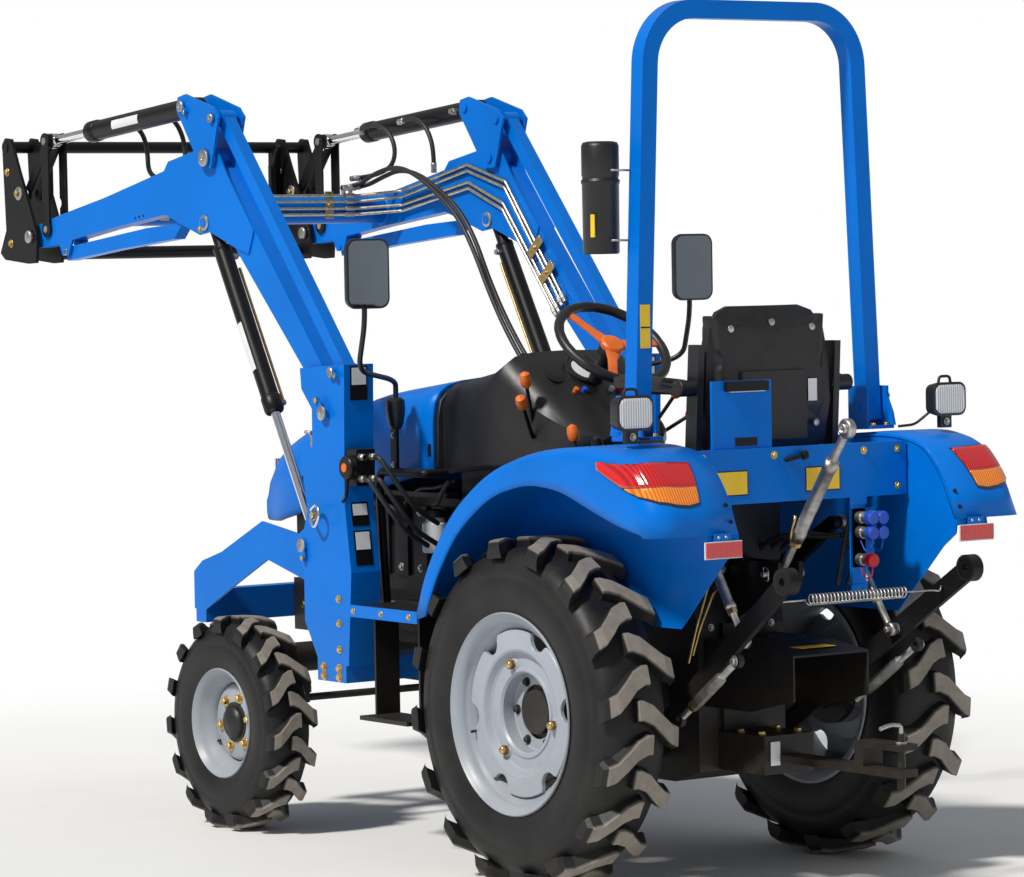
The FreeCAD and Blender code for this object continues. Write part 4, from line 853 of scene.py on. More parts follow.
def make_cowl():
    """Moulded dash shroud between the hood and the steering wheel, with its levers."""
    piece = Piece("cowl_moulded", "chassis", "black_plastic", PLASTIC)
    stops = [(0.815, 1.354, 1.078, 0.261), (0.74, 1.364, 1.085, 0.260), (0.68, 1.374, 1.092, 0.258),
             (0.62, 1.386, 1.098, 0.254), (0.585, 1.410, 1.102, 0.246), (0.550, 1.432, 1.106, 0.236),
             (0.51, 1.402, 1.110, 0.222), (0.45, 1.354, 1.115, 0.205), (0.39, 1.306, 1.125, 0.190),
             (0.33, 1.258, 1.145, 0.172), (0.285, 1.222, 1.165, 0.150), (0.256, 1.200, 1.180, 0.120)]
    rings = []
    for x, top, bottom, half in stops:
        section = [(0.0, top), (half * 0.5, top - 0.003), (half * 0.78, top - 0.014),
                   (half * 0.93, top - 0.038),
                   (half, top - 0.080 * min(1, (top - bottom) * 4)), (half, bottom + 0.012),
                   (half * 0.96, bottom),
                   (half * 0.5, bottom), (0.0, bottom)]
        section = [(y, max(z, bottom)) for y, z in section]
        full = [(-y, z) for y, z in reversed(section[1:-1])] + section
        rings.append([place(x, y, z) for y, z in full])
    piece.rings(rings, smooth=True)
    piece.rings([[place(x, y, z) for x, y in
                  ((0.486, -0.192), (0.812, -0.194), (0.812, 0.194), (0.486, 0.192))]
                 for z in (0.725, 1.10)], smooth=False)
    rings = []
    for z, low_x, half in ((0.725, 0.46, 0.12), (0.95, 0.455, 0.135), (1.10, 0.445, 0.16),
                           (1.13, 0.42, 0.17)):
        rings.append([place(x, y, z) for x, y in
                      ((low_x, -half), (0.52, -half - 0.02), (0.52, half + 0.02), (low_x, half))])
    piece.rings(rings, smooth=False)
    piece.use(BLACK)
    piece.box(place(0.560, -0.13, 1.405), place(0.600, 0.13, 1.425))
    normal = Vector((-0.64, 0, 0.77)).normalized()
    piece.use(PLASTIC)
    piece.turned(place(0.475, 0, 1.372), normal, [(0, 0.062), (0.012, 0.062), (0.014, 0.056), (0.010, 0.054),
                                                  (0.008, 0.0)], 40)
    piece.use(WHITE).turned(place(0.475, 0, 1.372), normal, [(0.0085, 0.050), (0.0095, 0.050), (0.0095, 0.0)],
                            32)
    for y in (-0.11, 0.11):
        piece.use(BLACK).turned(place(0.462, y, 1.352), normal, [(0, 0.024), (0.010, 0.024), (0.012, 0.0)],
                                24)
    for y, material in ((-0.075, RED), (-0.045, WHITE), (0.05, SKY), (0.08, ORANGE)):
        piece.use(material).turned(place(0.405, y, 1.318), normal,
                                   [(-0.01, 0.008), (0.012, 0.008), (0.014, 0.0)], 16)
    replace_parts(piece.build(bevel=0.003), "cowl")


def make_levers():
    """Hand levers with coloured knobs beside the seat and dash, pedals on the floor."""
    piece = Piece("hand_levers", "chassis", "black_plastic", BLACK)
    levers = [((0.44, 0.205, 1.19), (0.39, 0.275, 1.285), ORANGE),
              ((0.46, 0.18, 1.18), (0.42, 0.24, 1.345), ORANGE),
              ((0.42, -0.19, 1.19), (0.37, -0.25, 1.30), ORANGE),
              ((0.40, -0.16, 1.16), (0.33, -0.27, 1.24), RED),
              ((0.10, -0.305, 1.04), (0.155, -0.315, 1.245), RED),
              ((0.02, -0.305, 1.04), (0.055, -0.315, 1.215), YELLOW),
              ((0.06, 0.305, 1.04), (0.10, 0.312, 1.205), ORANGE),
              ((-0.03, 0.305, 1.04), (-0.01, 0.312, 1.175), BLACK)]
    for foot, head, material in levers:
        piece.use(BLACK).rod(place(*foot), place(*head), 0.0055, 12)
        along = (Vector(head) - Vector(foot)).normalized()
        piece.use(material).turned(place(*head) - along * 0.012, along,
                                   [(0, 0.008), (0.008, 0.015), (0.026, 0.017), (0.042, 0.014), (0.050, 0.0)],
                                   24)
    piece.use(PLASTIC)
    for side in (LEFT, RIGHT):
        piece.mirrored_box(side, (-0.12, 0.262, 1.005), (0.20, 0.345, 1.045))
    piece.use(RUBBER)
    for x, y in ((0.55, -0.26), (0.55, -0.33), (0.56, 0.27)):
        piece.box(place(x - 0.045, y - 0.028, 0.80), place(x + 0.02, y + 0.028, 0.815))
        piece.rod(place(x, y, 0.80), place(x + 0.05, y, 1.0), 0.008, 10)
    piece.build(bevel=0.002)


for side_name, fender_side in SIDES.items():
    pressed = make_fender(side_name, fender_side)
    red_lens = lamp_corner(side_name, fender_side, pressed)
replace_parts(red_lens, "tail_lamps")
both(make_reflector)
make_hood()
make_cowl()
make_levers()


# --------------------------------------------------------------------------- driver's place
def crowned(node, material, swell, cap, seams, shrink=0.007):
    """A padded cushion: a soft box that a short cloth run puffs up, then sewn channels."""
    low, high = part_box(node)
    source = bpy.data.objects.new(f"{node}_core", nodes[node].data.copy())
    source.matrix_world = nodes[node].matrix_world.copy()
    bpy.context.scene.collection.objects.link(source)
    middle = (low + high) / 2
    mesh = bmesh.new()
    mesh.from_mesh(source.data)
    mesh.transform(source.matrix_world)
    for vertex in mesh.verts:
        away = vertex.co - middle
        for axis in range(3):
            half = (high[axis] - low[axis]) / 2
            away[axis] *= (half - shrink) / half
        vertex.co = middle + away
    mesh.to_mesh(source.data)
    mesh.free()
    source.matrix_world = Matrix()
    source.data.materials.clear()
    source.data.materials.append(material)
    source.name = f"{node}_padded"
    bevel = source.modifiers.new("round", "BEVEL")
    bevel.width, bevel.segments = 0.022, 5
    bevel.limit_method = "ANGLE"
    remesh = source.modifiers.new("even", "REMESH")
    remesh.mode, remesh.voxel_size = "VOXEL", 0.006
    apply_all(source)
    before = [vertex.co.copy() for vertex in source.data.vertices]
    cloth = source.modifiers.new("puff", "CLOTH")
    cloth.settings.use_pressure = True
    cloth.settings.uniform_pressure_force = swell
    cloth.settings.effector_weights.gravity = 0
    scene = bpy.context.scene
    for step in range(1, 21):
        scene.frame_set(step)
    apply_all(source)
    for vertex, start in zip(source.data.vertices, before):
        moved = vertex.co - start
        if moved.length > cap:
            vertex.co = start + moved.normalized() * cap
    scene.frame_set(1)
    sew(source, low, high, seams)
    keep_inside(source, low, high)
    source.data.polygons.foreach_set("use_smooth", [True] * len(source.data.polygons))
    finer = source.modifiers.new("finer", "SUBSURF")
    finer.levels = finer.render_levels = 1
    apply_all(source)
    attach(source, "chassis")
    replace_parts(source, node)


def sew(thing, low, high, seams):
    """Channels pressed into the face where the axis and place say, each a few mm deep."""
    for vertex in thing.data.vertices:
        for axis, at, width, depth, face_axis, face_side in seams:
            away = abs(vertex.co[axis] - (low[axis] + (high[axis] - low[axis]) * at))
            middle = (low[face_axis] + high[face_axis]) / 2
            if away < width and (vertex.co[face_axis] - middle) * face_side > 0:
                vertex.co[face_axis] -= face_side * depth * (1 - away / width) ** 0.5


def keep_inside(thing, low, high):
    for vertex in thing.data.vertices:
        for axis in range(3):
            vertex.co[axis] = min(max(vertex.co[axis], low[axis] - 0.004), high[axis] + 0.004)


def make_seat_shell():
    """The seat's hard back shell with its buttons, pivots, belt and runners."""
    piece = Piece("seat_shell", "chassis", "black_plastic", PLASTIC)
    rings = []
    for x_back, x_front, z, half in ((-0.350, -0.322, 1.150, 0.170), (-0.376, -0.345, 1.190, 0.200),
                                     (-0.386, -0.360, 1.300, 0.214), (-0.384, -0.362, 1.420, 0.210),
                                     (-0.380, -0.360, 1.500, 0.196), (-0.374, -0.356, 1.545, 0.160),
                                     (-0.366, -0.352, 1.560, 0.120)):
        back = [(-half * share, x_back + 0.022 * share * share) for share in (-1, -0.7, -0.35, 0, 0.35, 0.7,
                                                                              1)]
        front = [(half * share, x_front + 0.022 * share * share) for share in (-1, -0.7, -0.35, 0, 0.35, 0.7,
                                                                               1)]
        rings.append([place(x, y, z) for y, x in back + front])
    piece.rings(rings, smooth=True)
    piece.box(place(-0.392, -0.11, 1.20), place(-0.375, 0.11, 1.385))
    piece.use(GALVANISED)
    for y, z in ((-0.14, 1.50), (0.14, 1.50), (0.0, 1.515), (-0.15, 1.24), (0.15, 1.24)):
        piece.turned(place(-0.379, y, z), -X_AXIS, [(0, 0.010), (0.004, 0.010), (0.006, 0.006), (0.006, 0.0)],
                     16)
    piece.use(WHITE).box(place(-0.3925, -0.145, 1.30), place(-0.3915, -0.115, 1.36))
    piece.use(PLASTIC)
    for side in (LEFT, RIGHT):
        piece.rod(place(-0.345, side * 0.222, 1.345), place(-0.345, side * 0.295, 1.345), 0.022)
        piece.tube([place(-0.10, side * 0.236, 1.09), place(-0.16, side * 0.250, 1.13),
                    place(-0.20, side * 0.252, 1.17)], 0.010)
    piece.use(RED).box(place(-0.215, 0.246, 1.165), place(-0.190, 0.262, 1.195))
    piece.build(bevel=0.002)


def make_armrests():
    """Two padded armrests on their arms, one on each side."""
    piece = Piece("armrest_pads", "chassis", "seat_vinyl", VINYL)
    for side in (LEFT, RIGHT):
        rings = []
        for x, dz, half_y, half_z in ((-0.345, 0, 0.012, 0.012), (-0.335, 0.001, 0.023, 0.021),
                                      (-0.22, 0.004, 0.026, 0.024), (-0.12, 0.009, 0.026, 0.024),
                                      (-0.07, 0.012, 0.022, 0.020), (-0.058, 0.013, 0.010, 0.010)):
            middle = place(x, side * 0.270, 1.347 + dz)
            ring = []
            for step in range(18):
                across, up = math.cos(math.radians(20 * step)), math.sin(math.radians(20 * step))
                flat = 1.0 if abs(across) < 0.7 else 0.95
                ring.append(middle + Vector((0, half_y * across * flat, half_z * up)))
            rings.append(ring)
        piece.rings(rings, smooth=True)
    piece.build(bevel=0)


def make_steering():
    axis = Vector(joints["steering_turn"]["axis"]).normalized()
    piece = Piece("steering_wheel_moulded", "steering", "black_plastic", PLASTIC)
    first, second = Y_AXIS, axis.cross(Y_AXIS).normalized()
    middle = place(0.332, 0, 1.450)
    rings = []
    for step in range(72):
        turn = 2 * math.pi * step / 72
        out = first * math.cos(turn) + second * math.sin(turn)
        swell = 0.0145 - 0.0008 * (step % 4 == 0)
        rings.append([middle + out * 0.163 + spoke(out, axis, math.radians(30 * part)) * swell
                      for part in range(12)])
    piece.rings(rings, closed=True)
    piece.use(ORANGE)
    for turn in (90, 210, 330):
        angle = math.radians(turn + 90)
        out = first * math.cos(angle) + second * math.sin(angle)
        across = axis.cross(out).normalized()
        rings = []
        for reach, half, lift in ((0.030, 0.020, -0.004), (0.075, 0.014, -0.002), (0.120, 0.013, 0.0),
                                  (0.156, 0.016, 0.0)):
            spot = middle + out * reach + axis * lift
            rings.append([spot + across * half * cos_part + axis * 0.004 * sin_part
                          for cos_part, sin_part in ((-1, -1), (1, -1), (1, 0.6), (0.5, 1), (-0.5, 1),
                                                     (-1, 0.6))])
        piece.rings(rings, smooth=False)
    piece.turned(middle, axis, [(-0.012, 0.034), (0.002, 0.036), (0.008, 0.030), (0.010, 0.0)], 36)
    piece.use(PLASTIC)
    piece.turned(middle, axis, [(-0.135, 0.021), (-0.05, 0.023), (-0.036, 0.033), (-0.010, 0.035)], 32,
                 capped=True)
    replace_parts(piece.build(bevel=0.001), "steering_wheel")


def rounded_plate(piece, middle, across, up, ahead, half_across, half_up, corner, levels, steps=6):
    """A rounded rectangle carried through levels of (ahead, inset)."""
    rings = []
    for depth, inset in levels:
        ring = []
        for corner_x, corner_y, start in ((1, 1, 0), (-1, 1, 90), (-1, -1, 180), (1, -1, 270)):
            for step in range(steps + 1):
                turn = math.radians(start + 90 * step / steps)
                radius = max(corner - inset, 0.001)
                ring.append(middle + across * (corner_x * (half_across - corner) + radius * math.cos(turn)) +
                            up * (corner_y * (half_up - corner) + radius * math.sin(turn)) + ahead * depth)
        rings.append(ring)
    piece.rings(rings, smooth=True)


def make_mirrors():
    piece = Piece("mirrors_and_guards", "chassis", "black_plastic", BLACK)
    for side in (LEFT, RIGHT):
        guard_y, mirror_y = side * 0.340, side * 0.580
        piece.use(BLACK)
        piece.tube([place(0.985, guard_y, 0.560), place(1.028, guard_y, 1.083), place(0.790, guard_y, 1.083),
                    place(0.790, side * 0.264, 1.083)], 0.0128, 16, 0.12)
        low, high = sorted((guard_y - 0.005, guard_y + 0.005))
        piece.box(place(0.925, low, 1.088), place(0.955, high, 1.215))
        piece.use(PLASTIC)
        rings = []
        for z, half_x, half_y in ((1.208, 0.016, 0.014), (1.222, 0.024, 0.022), (1.262, 0.028, 0.029),
                                  (1.292, 0.026, 0.028),
                                  (1.300, 0.018, 0.018)):
            rings.append([place(0.933 + half_x * math.cos(turn), guard_y + half_y * math.sin(turn), z)
                          for turn in (math.radians(20 * step) for step in range(18))])
        piece.rings(rings)
        piece.tube([place(0.930, guard_y, 1.296), place(0.930, guard_y, 1.350), place(0.760, mirror_y, 1.385),
                    place(0.722, mirror_y, 1.520), place(0.722, mirror_y, 1.650)], 0.0078, 14, 0.3)
        middle = place(0.712, mirror_y, 1.661)
        rounded_plate(piece, middle, Y_AXIS, Z_AXIS, -X_AXIS, 0.072, 0.099, 0.030,
                      [(-0.013, 0.026), (-0.012, 0.016), (-0.007, 0.004), (0.006, 0.0), (0.0135, 0.001),
                       (0.0135, 0.006)])
        piece.box(place(0.714, mirror_y - 0.012, 1.60), place(0.7245, mirror_y + 0.012, 1.66))
        piece.use(MIRROR)
        rounded_plate(piece, middle, Y_AXIS, Z_AXIS, -X_AXIS, 0.066, 0.093, 0.026,
                      [(0.0125, 0.0), (0.0138, 0.0)])
        piece.use(GALVANISED)
        piece.bolt(place(0.940, guard_y + side * 0.006, 1.105), Vector((0, side, 0)), 0.006)
        piece.bolt(place(0.940, guard_y + side * 0.006, 1.190), Vector((0, side, 0)), 0.006)
    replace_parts(piece.build(bevel=0.0012), "mirrors")


# --------------------------------------------------------------------------- roll bar and rear
def make_canister():
    """The handbook canister, with its cap and two clamps round the roll bar post."""
    piece = Piece("canister_moulded", "roll_bar", "black_plastic", PLASTIC)
    low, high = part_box("manual_canister")
    middle = (low + high) / 2
    foot = Vector((middle.x, (low.y + high.y) / 2, low.z))
    tall = high.z - low.z
    piece.turned(foot, Z_AXIS, [(0.0, 0.0), (0.0, 0.044), (0.004, 0.0485), (tall * 0.62, 0.0495),
                                (tall * 0.625, 0.0515),
                                (tall * 0.66, 0.0515), (tall * 0.665, 0.048), (tall * 0.68, 0.048),
                                (tall * 0.70, 0.050), (tall - 0.012, 0.050), (tall - 0.003, 0.046),
                                (tall, 0.034),
                                (tall, 0.0)], 48)
    piece.use(YELLOW)
    spot = foot + Vector((-0.020, 0.0445, 0.075))
    piece.box(spot - Vector((0.012, 0.001, 0.030)), spot + Vector((0.012, 0.0018, 0.030)))
    piece.use(GALVANISED)
    for z in (low.z + tall * 0.12, low.z + tall * 0.74):
        post_y = 0.400 - 0.050 * (z - 1.238) / 1.114
        for x in (middle.x - 0.056, middle.x + 0.052):
            piece.tube([Vector((x, low.y + 0.060, z)), Vector((x, post_y, z))], 0.003, 10)
    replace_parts(piece.build(bevel=0), "manual_canister")


def make_roll_bar_fittings():
    piece = Piece("roll_bar_fittings", "chassis", "zinc", GOLD)
    for side in (LEFT, RIGHT):
        out = Vector((0, side, 0))
        foot = place(-0.305, side * 0.440, 1.270)
        piece.use(GOLD).turned(foot, out, [(0, 0.017), (0.004, 0.017), (0.006, 0.014), (0.010, 0.014),
                                           (0.012, 0.0)], 24)
        piece.bolt(place(-0.335, side * 0.440, 1.302), out, 0.008)
        piece.bolt(place(-0.275, side * 0.440, 1.302), out, 0.008)
        for x, y in ((-0.352, 0.376), (-0.352, 0.424), (-0.258, 0.376), (-0.258, 0.424)):
            piece.bolt(place(x, side * y, 1.2225), Z_AXIS, 0.0075)
        piece.use(GALVANISED)
        piece.tube([foot + out * 0.009 + Vector((0.0, 0, 0.010)),
                    foot + out * 0.016 + Vector((0.028, 0, 0.004)),
                    foot + out * 0.014 + Vector((0.030, 0, -0.030)),
                    foot + out * 0.010 + Vector((0.002, 0, -0.012))],
                   0.0018, 8)
        piece.use(BLUE)
        low, high = sorted((side * 0.431, side * 0.4395))
        for x_edge, reach in ((-0.345, -0.030), (-0.265, 0.030)):
            outline = [(x_edge, 1.222), (x_edge + reach, 1.222), (x_edge + reach * 0.7, 1.258),
                       (x_edge, 1.300)]
            piece.slab(outline, low, high)
    piece.build(bevel=0.0015)
    label = Piece("roll_bar_plate", "roll_bar", "blue_paint", YELLOW)
    label.box(place(-0.3315, 0.372, 1.455), place(-0.3302, 0.404, 1.570))
    label.use(BLACK).box(place(-0.3320, 0.373, 1.508), place(-0.3312, 0.403, 1.512))
    label.build(bevel=0)


def make_work_lamps():
    piece = Piece("work_lamps_ribbed", "chassis", "black_plastic", PLASTIC)
    for side in (LEFT, RIGHT):
        middle = place(-0.462, side * 0.540, 1.292)
        piece.use(PLASTIC)
        rounded_plate(piece, middle, Y_AXIS, Z_AXIS, -X_AXIS, 0.059, 0.046, 0.024,
                      [(-0.022, 0.018), (-0.018, 0.006), (0.012, 0.0), (0.022, 0.0), (0.023, 0.004)])
        for fin in range(5):
            y = side * 0.540 + 0.018 * (fin - 2)
            piece.box(place(-0.448, y - 0.002, 1.262), place(-0.434, y + 0.002, 1.322))
        piece.tube([middle + Vector((0.0, -0.022, 0.044)), middle + Vector((0.0, -0.018, 0.062)),
                    middle + Vector((0.0, 0.018, 0.062)), middle + Vector((0.0, 0.022, 0.044))], 0.004, 10)
        piece.box(place(-0.468, side * 0.540 - 0.020, 1.213), place(-0.452, side * 0.540 + 0.020, 1.250))
        piece.use(CLEAR_LENS)
        rounded_plate(piece, middle, Y_AXIS, Z_AXIS, -X_AXIS, 0.052, 0.039, 0.020,
                      [(0.020, 0.0), (0.025, 0.0), (0.027, 0.006)])
        piece.use(GALVANISED)
        piece.bolt(place(-0.470, side * 0.540, 1.230), -X_AXIS, 0.007)
        piece.use(RUBBER)
        piece.tube([place(-0.440, side * 0.530, 1.275), place(-0.418, side * 0.515, 1.250),
                    place(-0.405, side * 0.480, 1.222), place(-0.395, side * 0.430, 1.219)], 0.004, 8)
    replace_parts(piece.build(bevel=0.001), "work_lamps")


def make_rear_plates():
    piece = Piece("rear_panel_plates", "chassis", "blue_paint", YELLOW)
    for low, high in ((0.186, 0.306), (-0.130, -0.012)):
        piece.use(BLACK).box(place(-0.5014, low - 0.001, 1.063), place(-0.5002, high + 0.001, 1.129))
        piece.use(YELLOW).box(place(-0.5022, low + 0.002, 1.066), place(-0.5010, high - 0.002, 1.126))
    piece.use(GOLD)
    for y in (-0.335, -0.215, 0.095, 0.335):
        piece.bolt(place(-0.5002, y, 1.165), -X_AXIS, 0.0075)
    piece.bolt(place(-0.5002, -0.335, 1.065), -X_AXIS, 0.0075)
    piece.bolt(place(-0.5002, 0.335, 1.065), -X_AXIS, 0.0075)
    piece.use(BLACK)
    piece.box(place(-0.500, 0.108, 1.338), place(-0.487, 0.250, 1.364))
    piece.box(place(-0.4875, 0.140, 1.193), place(-0.4862, 0.215, 1.215))
    piece.use(CLEAR_LENS).box(place(-0.498, 0.120, 1.3355), place(-0.489, 0.238, 1.3385))
    piece.use(BLACK)
    piece.rod(place(-0.503, 0.06, 1.150), place(-0.512, 0.012, 1.160), 0.006)
    piece.turned(place(-0.512, 0.012, 1.160), Vector((-0.2, -1, 0.2)),
                 [(0, 0.006), (0.004, 0.012), (0.018, 0.012), (0.022, 0.0)], 16)
    piece.use(BLUE)
    for z in (0.795, 1.030):
        piece.box(place(-0.503, -0.222, z - 0.010), place(-0.499, -0.166, z + 0.010))
    piece.build(bevel=0.001)


def make_outlets():
    """Oil couplers with coloured caps on their bracket beside the lift."""
    piece = Piece("oil_couplers", "chassis", "zinc", GALVANISED)
    for z, cap, drop in ((0.985, SKY, 0), (0.945, SKY, 1), (0.872, RED, 2)):
        for y in (-0.196, -0.232):
            if drop == 2 and y < -0.2:
                continue
            start = place(-0.500, y, z)
            piece.use(GALVANISED).turned(start, -X_AXIS,
                                         [(0, 0.017), (0.020, 0.017), (0.022, 0.014), (0.040, 0.014)], 24)
            piece.use(cap).turned(start - X_AXIS * 0.038, -X_AXIS,
                                  [(0, 0.016), (0.003, 0.0185), (0.022, 0.0185), (0.026, 0.015),
                                   (0.026, 0.0)], 24)
            piece.tube([start + Vector((-0.055, 0, -0.015)), start + Vector((-0.050, 0, -0.045)),
                        start + Vector((-0.025, 0, -0.052)), start + Vector((-0.004, 0, -0.020))], 0.0022, 8)
    piece.use(BLUE).box(place(-0.500, -0.250, 0.850), place(-0.4955, -0.170, 1.010))
    piece.use(RUBBER)
    for y, z in ((-0.196, 0.985), (-0.232, 0.945)):
        piece.tube([place(-0.494, y, z), place(-0.462, y, z), place(-0.448, y + 0.01, z - 0.08),
                    place(-0.430, y + 0.02, 0.80)], 0.007, 10)
    piece.build(bevel=0.001)


crowned("seat_cushion", VINYL, 4.0, 0.014,
        [(1, 0.2, 0.008, 0.004, 2, 1), (1, 0.8, 0.008, 0.004, 2, 1), (0, 0.42, 0.008, 0.004, 2, 1)])
crowned("seat_backrest", VINYL, 4.0, 0.014,
        [(1, 0.2, 0.008, 0.004, 0, 1), (1, 0.8, 0.008, 0.004, 0, 1)])
make_seat_shell()
make_armrests()
make_steering()
make_mirrors()
make_canister()
make_roll_bar_fittings()
make_work_lamps()
make_rear_plates()
make_outlets()


# --------------------------------------------------------------------------- three-point hitch
def link_ball(piece, middle, axis, radius, width, bore):
    """A ball in its eye, with the bore that takes a hitch pin."""
    half = width / 2
    rings = [(-half, bore), (-half, bore + 0.004)]
    rings += [(radius * math.sin(turn), radius * math.cos(turn))
              for turn in (math.radians(angle) for angle in range(-40, 41, 10))
              if abs(radius * math.sin(turn)) < half]
    rings += [(half, bore + 0.004), (half, bore), (-half, bore)]
    piece.turned(middle, axis, rings, 32)


def make_top_link():
    """Turnbuckle with threaded ends, ball eyes, a locking collar and its pin."""
    at = joint_at("upper_link_swing")
    end = place(-0.690, 0, 1.236)
    along = (end - at).normalized()
    length = (end - at).length
    piece = Piece("top_link_turnbuckle", "upper_link", "galvanised", GALVANISED)
    for middle in (at, end):
        piece.turned(middle, Y_AXIS, [(-0.011, 0.014), (-0.013, 0.022), (-0.008, 0.027), (0.008, 0.027),
                                      (0.013, 0.022), (0.011, 0.014)], 32)
        link_ball(piece, middle, Y_AXIS, 0.017, 0.040, 0.0098)
    threads = []
    for step in range(34):
        threads.append((0.024 + 0.0032 * step, 0.0125 if step % 2 else 0.0108))
    piece.turned(at, along, threads, 20)
    piece.turned(end, -along, threads, 20)
    start, stop = 0.115, length - 0.105
    piece.use(GALVANISED)
    piece.turned(at, along, [(start, 0.012), (start, 0.019), (start + 0.03, 0.0205), (start + 0.032, 0.0185),
                             (stop - 0.032, 0.0185), (stop - 0.03, 0.0205), (stop, 0.019), (stop, 0.012)], 32)
    piece.use(GOLD)
    piece.turned(at, along, [(start - 0.016, 0.013), (start - 0.016, 0.018), (start - 0.004, 0.018),
                             (start - 0.004, 0.013)], 6, smooth=False)
    piece.tube([at + along * (start - 0.01) + Vector((0, 0.016, 0)),
                at + along * (start - 0.01) + Vector((-0.01, 0.021, 0.03)),
                at + along * (start + 0.02) + Vector((-0.012, 0.021, 0.05))], 0.004, 10)
    piece.use(GALVANISED)
    hold = end - along * 0.14
    piece.tube([hold + Vector((-0.014, 0, 0.010)), hold + Vector((-0.022, 0, 0.040)),
                hold + along * 0.07 + Vector((-0.022, 0, 0.030)),
                hold + along * 0.07 + Vector((-0.012, 0, 0.004))], 0.0035, 10)
    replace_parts(piece.build(bevel=0), "top_link")
    pin = Piece("top_link_pin", "chassis", "galvanised", GALVANISED)
    pin.rod(at - Y_AXIS * 0.066, at + Y_AXIS * 0.066, 0.0085)
    pin.turned(at - Y_AXIS * 0.066, -Y_AXIS, [(0, 0.014), (0.006, 0.014), (0.008, 0.0)], 20)
    pin.tube([at + Y_AXIS * 0.060 + Z_AXIS * 0.010, at + Y_AXIS * 0.060 + Z_AXIS * 0.022,
              at + Y_AXIS * 0.060 + Vector((-0.022, 0, 0.014)),
              at + Y_AXIS * 0.060 + Vector((-0.020, 0, -0.018)),
              at + Y_AXIS * 0.060 + Vector((0, 0, -0.014))], 0.002, 8)
    pin.build(bevel=0)


def make_lift_rods():
    """The drop links between the lift arms and the lower links, with levelling screws."""
    piece = Piece("levelling_rods", "hitch_rods", "galvanised", GALVANISED)
    for side in (LEFT, RIGHT):
        start, end = place(-0.370, side * 0.244, 0.965), place(-0.559, side * 0.252, 0.683)
        along = (end - start).normalized()
        length = (end - start).length
        piece.use(GALVANISED)
        piece.turned(start, Y_AXIS, [(-0.010, 0.0095), (-0.010, 0.018), (-0.006, 0.020), (0.006, 0.020),
                                     (0.010, 0.018), (0.010, 0.0095), (-0.010, 0.0095)], 28)
        piece.turned(end, Y_AXIS, [(-0.008, 0.008), (-0.008, 0.018), (0.008, 0.018), (0.008, 0.008),
                                   (-0.008, 0.008)], 28)
        threads = [(0.018 + 0.003 * step, 0.0100 if step % 2 else 0.0085) for step in range(22)]
        piece.turned(start, along, threads, 18)
        piece.turned(start, along, [(0.082, 0.010), (0.084, 0.0155), (0.10, 0.0158), (0.102, 0.0135),
                                    (length * 0.66, 0.0135),
                                    (length * 0.67, 0.0158), (length * 0.70, 0.0158),
                                    (length * 0.705, 0.0095), (length - 0.018, 0.0095)], 28)
        if side == RIGHT:
            piece.use(CAST)
            piece.turned(start, along, [(0.078, 0.011), (0.078, 0.0160), (0.128, 0.0160), (0.128, 0.013)], 24)
            piece.use(GALVANISED)
            crank = start + along * 0.10
            piece.tube([crank + Vector((-0.012, 0, 0.006)), crank + Vector((-0.030, 0.006, 0.018)),
                        crank + Vector((-0.036, 0.006, -0.05))], 0.0045, 10)
        piece.use(GOLD)
        piece.turned(start, along, [(length * 0.715, 0.010), (length * 0.715, 0.0145),
                                    (length * 0.75, 0.0145), (length * 0.75, 0.010)], 6, smooth=False)
    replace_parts(piece.build(bevel=0), "lift_links")


def make_check_links():
    """Turnbuckle check links with hooks that hold the lower links apart."""
    piece = Piece("check_links", "hitch_stays", "galvanised", GALVANISED)
    for side in (LEFT, RIGHT):
        start = place(-0.340, side * 0.300, 0.463)
        end = place(-0.601, side * 0.308, 0.640)
        along = (end - start).normalized()
        length = (end - start).length
        piece.use(CAST)
        for middle in (start, end):
            piece.turned(middle - Y_AXIS * 0.008, Y_AXIS,
                         [(0, 0.009), (0, 0.019), (0.016, 0.019), (0.016, 0.009), (0, 0.009)], 24)
        piece.use(GALVANISED)
        threads = [(0.018 + 0.003 * step, 0.0098 if step % 2 else 0.0084) for step in range(26)]
        piece.turned(start, along, threads, 18)
        piece.turned(end, -along, threads, 18)
        piece.turned(start, along, [(0.085, 0.009), (0.085, 0.0150), (0.105, 0.0165),
                                    (length - 0.105, 0.0165),
                                    (length - 0.085, 0.0150), (length - 0.085, 0.009)], 6, smooth=False)
        piece.use(GOLD)
        piece.turned(start, along, [(0.068, 0.010), (0.068, 0.0155), (0.082, 0.0155), (0.082, 0.010)], 6,
                     smooth=False)
    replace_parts(piece.build(bevel=0.0006, segments=1), "stabilisers")


def make_lower_link_ends():
    """Ball ends and pins with bolt heads on the lower links."""
    piece = Piece("lower_link_ends", "hitch_links", "black_paint", CAST)
    for side in (LEFT, RIGHT):
        ball = place(-0.813, side * 0.312, 0.858)
        piece.use(CAST)
        piece.turned(ball, Y_AXIS, [(-0.016, 0.024), (-0.018, 0.034), (0.018, 0.034), (0.016, 0.024)], 36)
        piece.use(GALVANISED)
        link_ball(piece, ball, Y_AXIS, 0.0255, 0.032, 0.0115)
        eye = place(-0.559, side * 0.252, 0.683)
        piece.use(GALVANISED)
        low, high = sorted((side * 0.232, side * 0.272))
        piece.rod(Vector((eye.x, low, eye.z)), Vector((eye.x, high, eye.z)), 0.0075)
        piece.bolt(Vector((eye.x, side * 0.270, eye.z)), Vector((0, side, 0)), 0.0105)
        stay = place(-0.601, side * 0.319, 0.640)
        piece.bolt(stay, Vector((0, side, 0)), 0.010)
    piece.build(bevel=0.0008, segments=1)


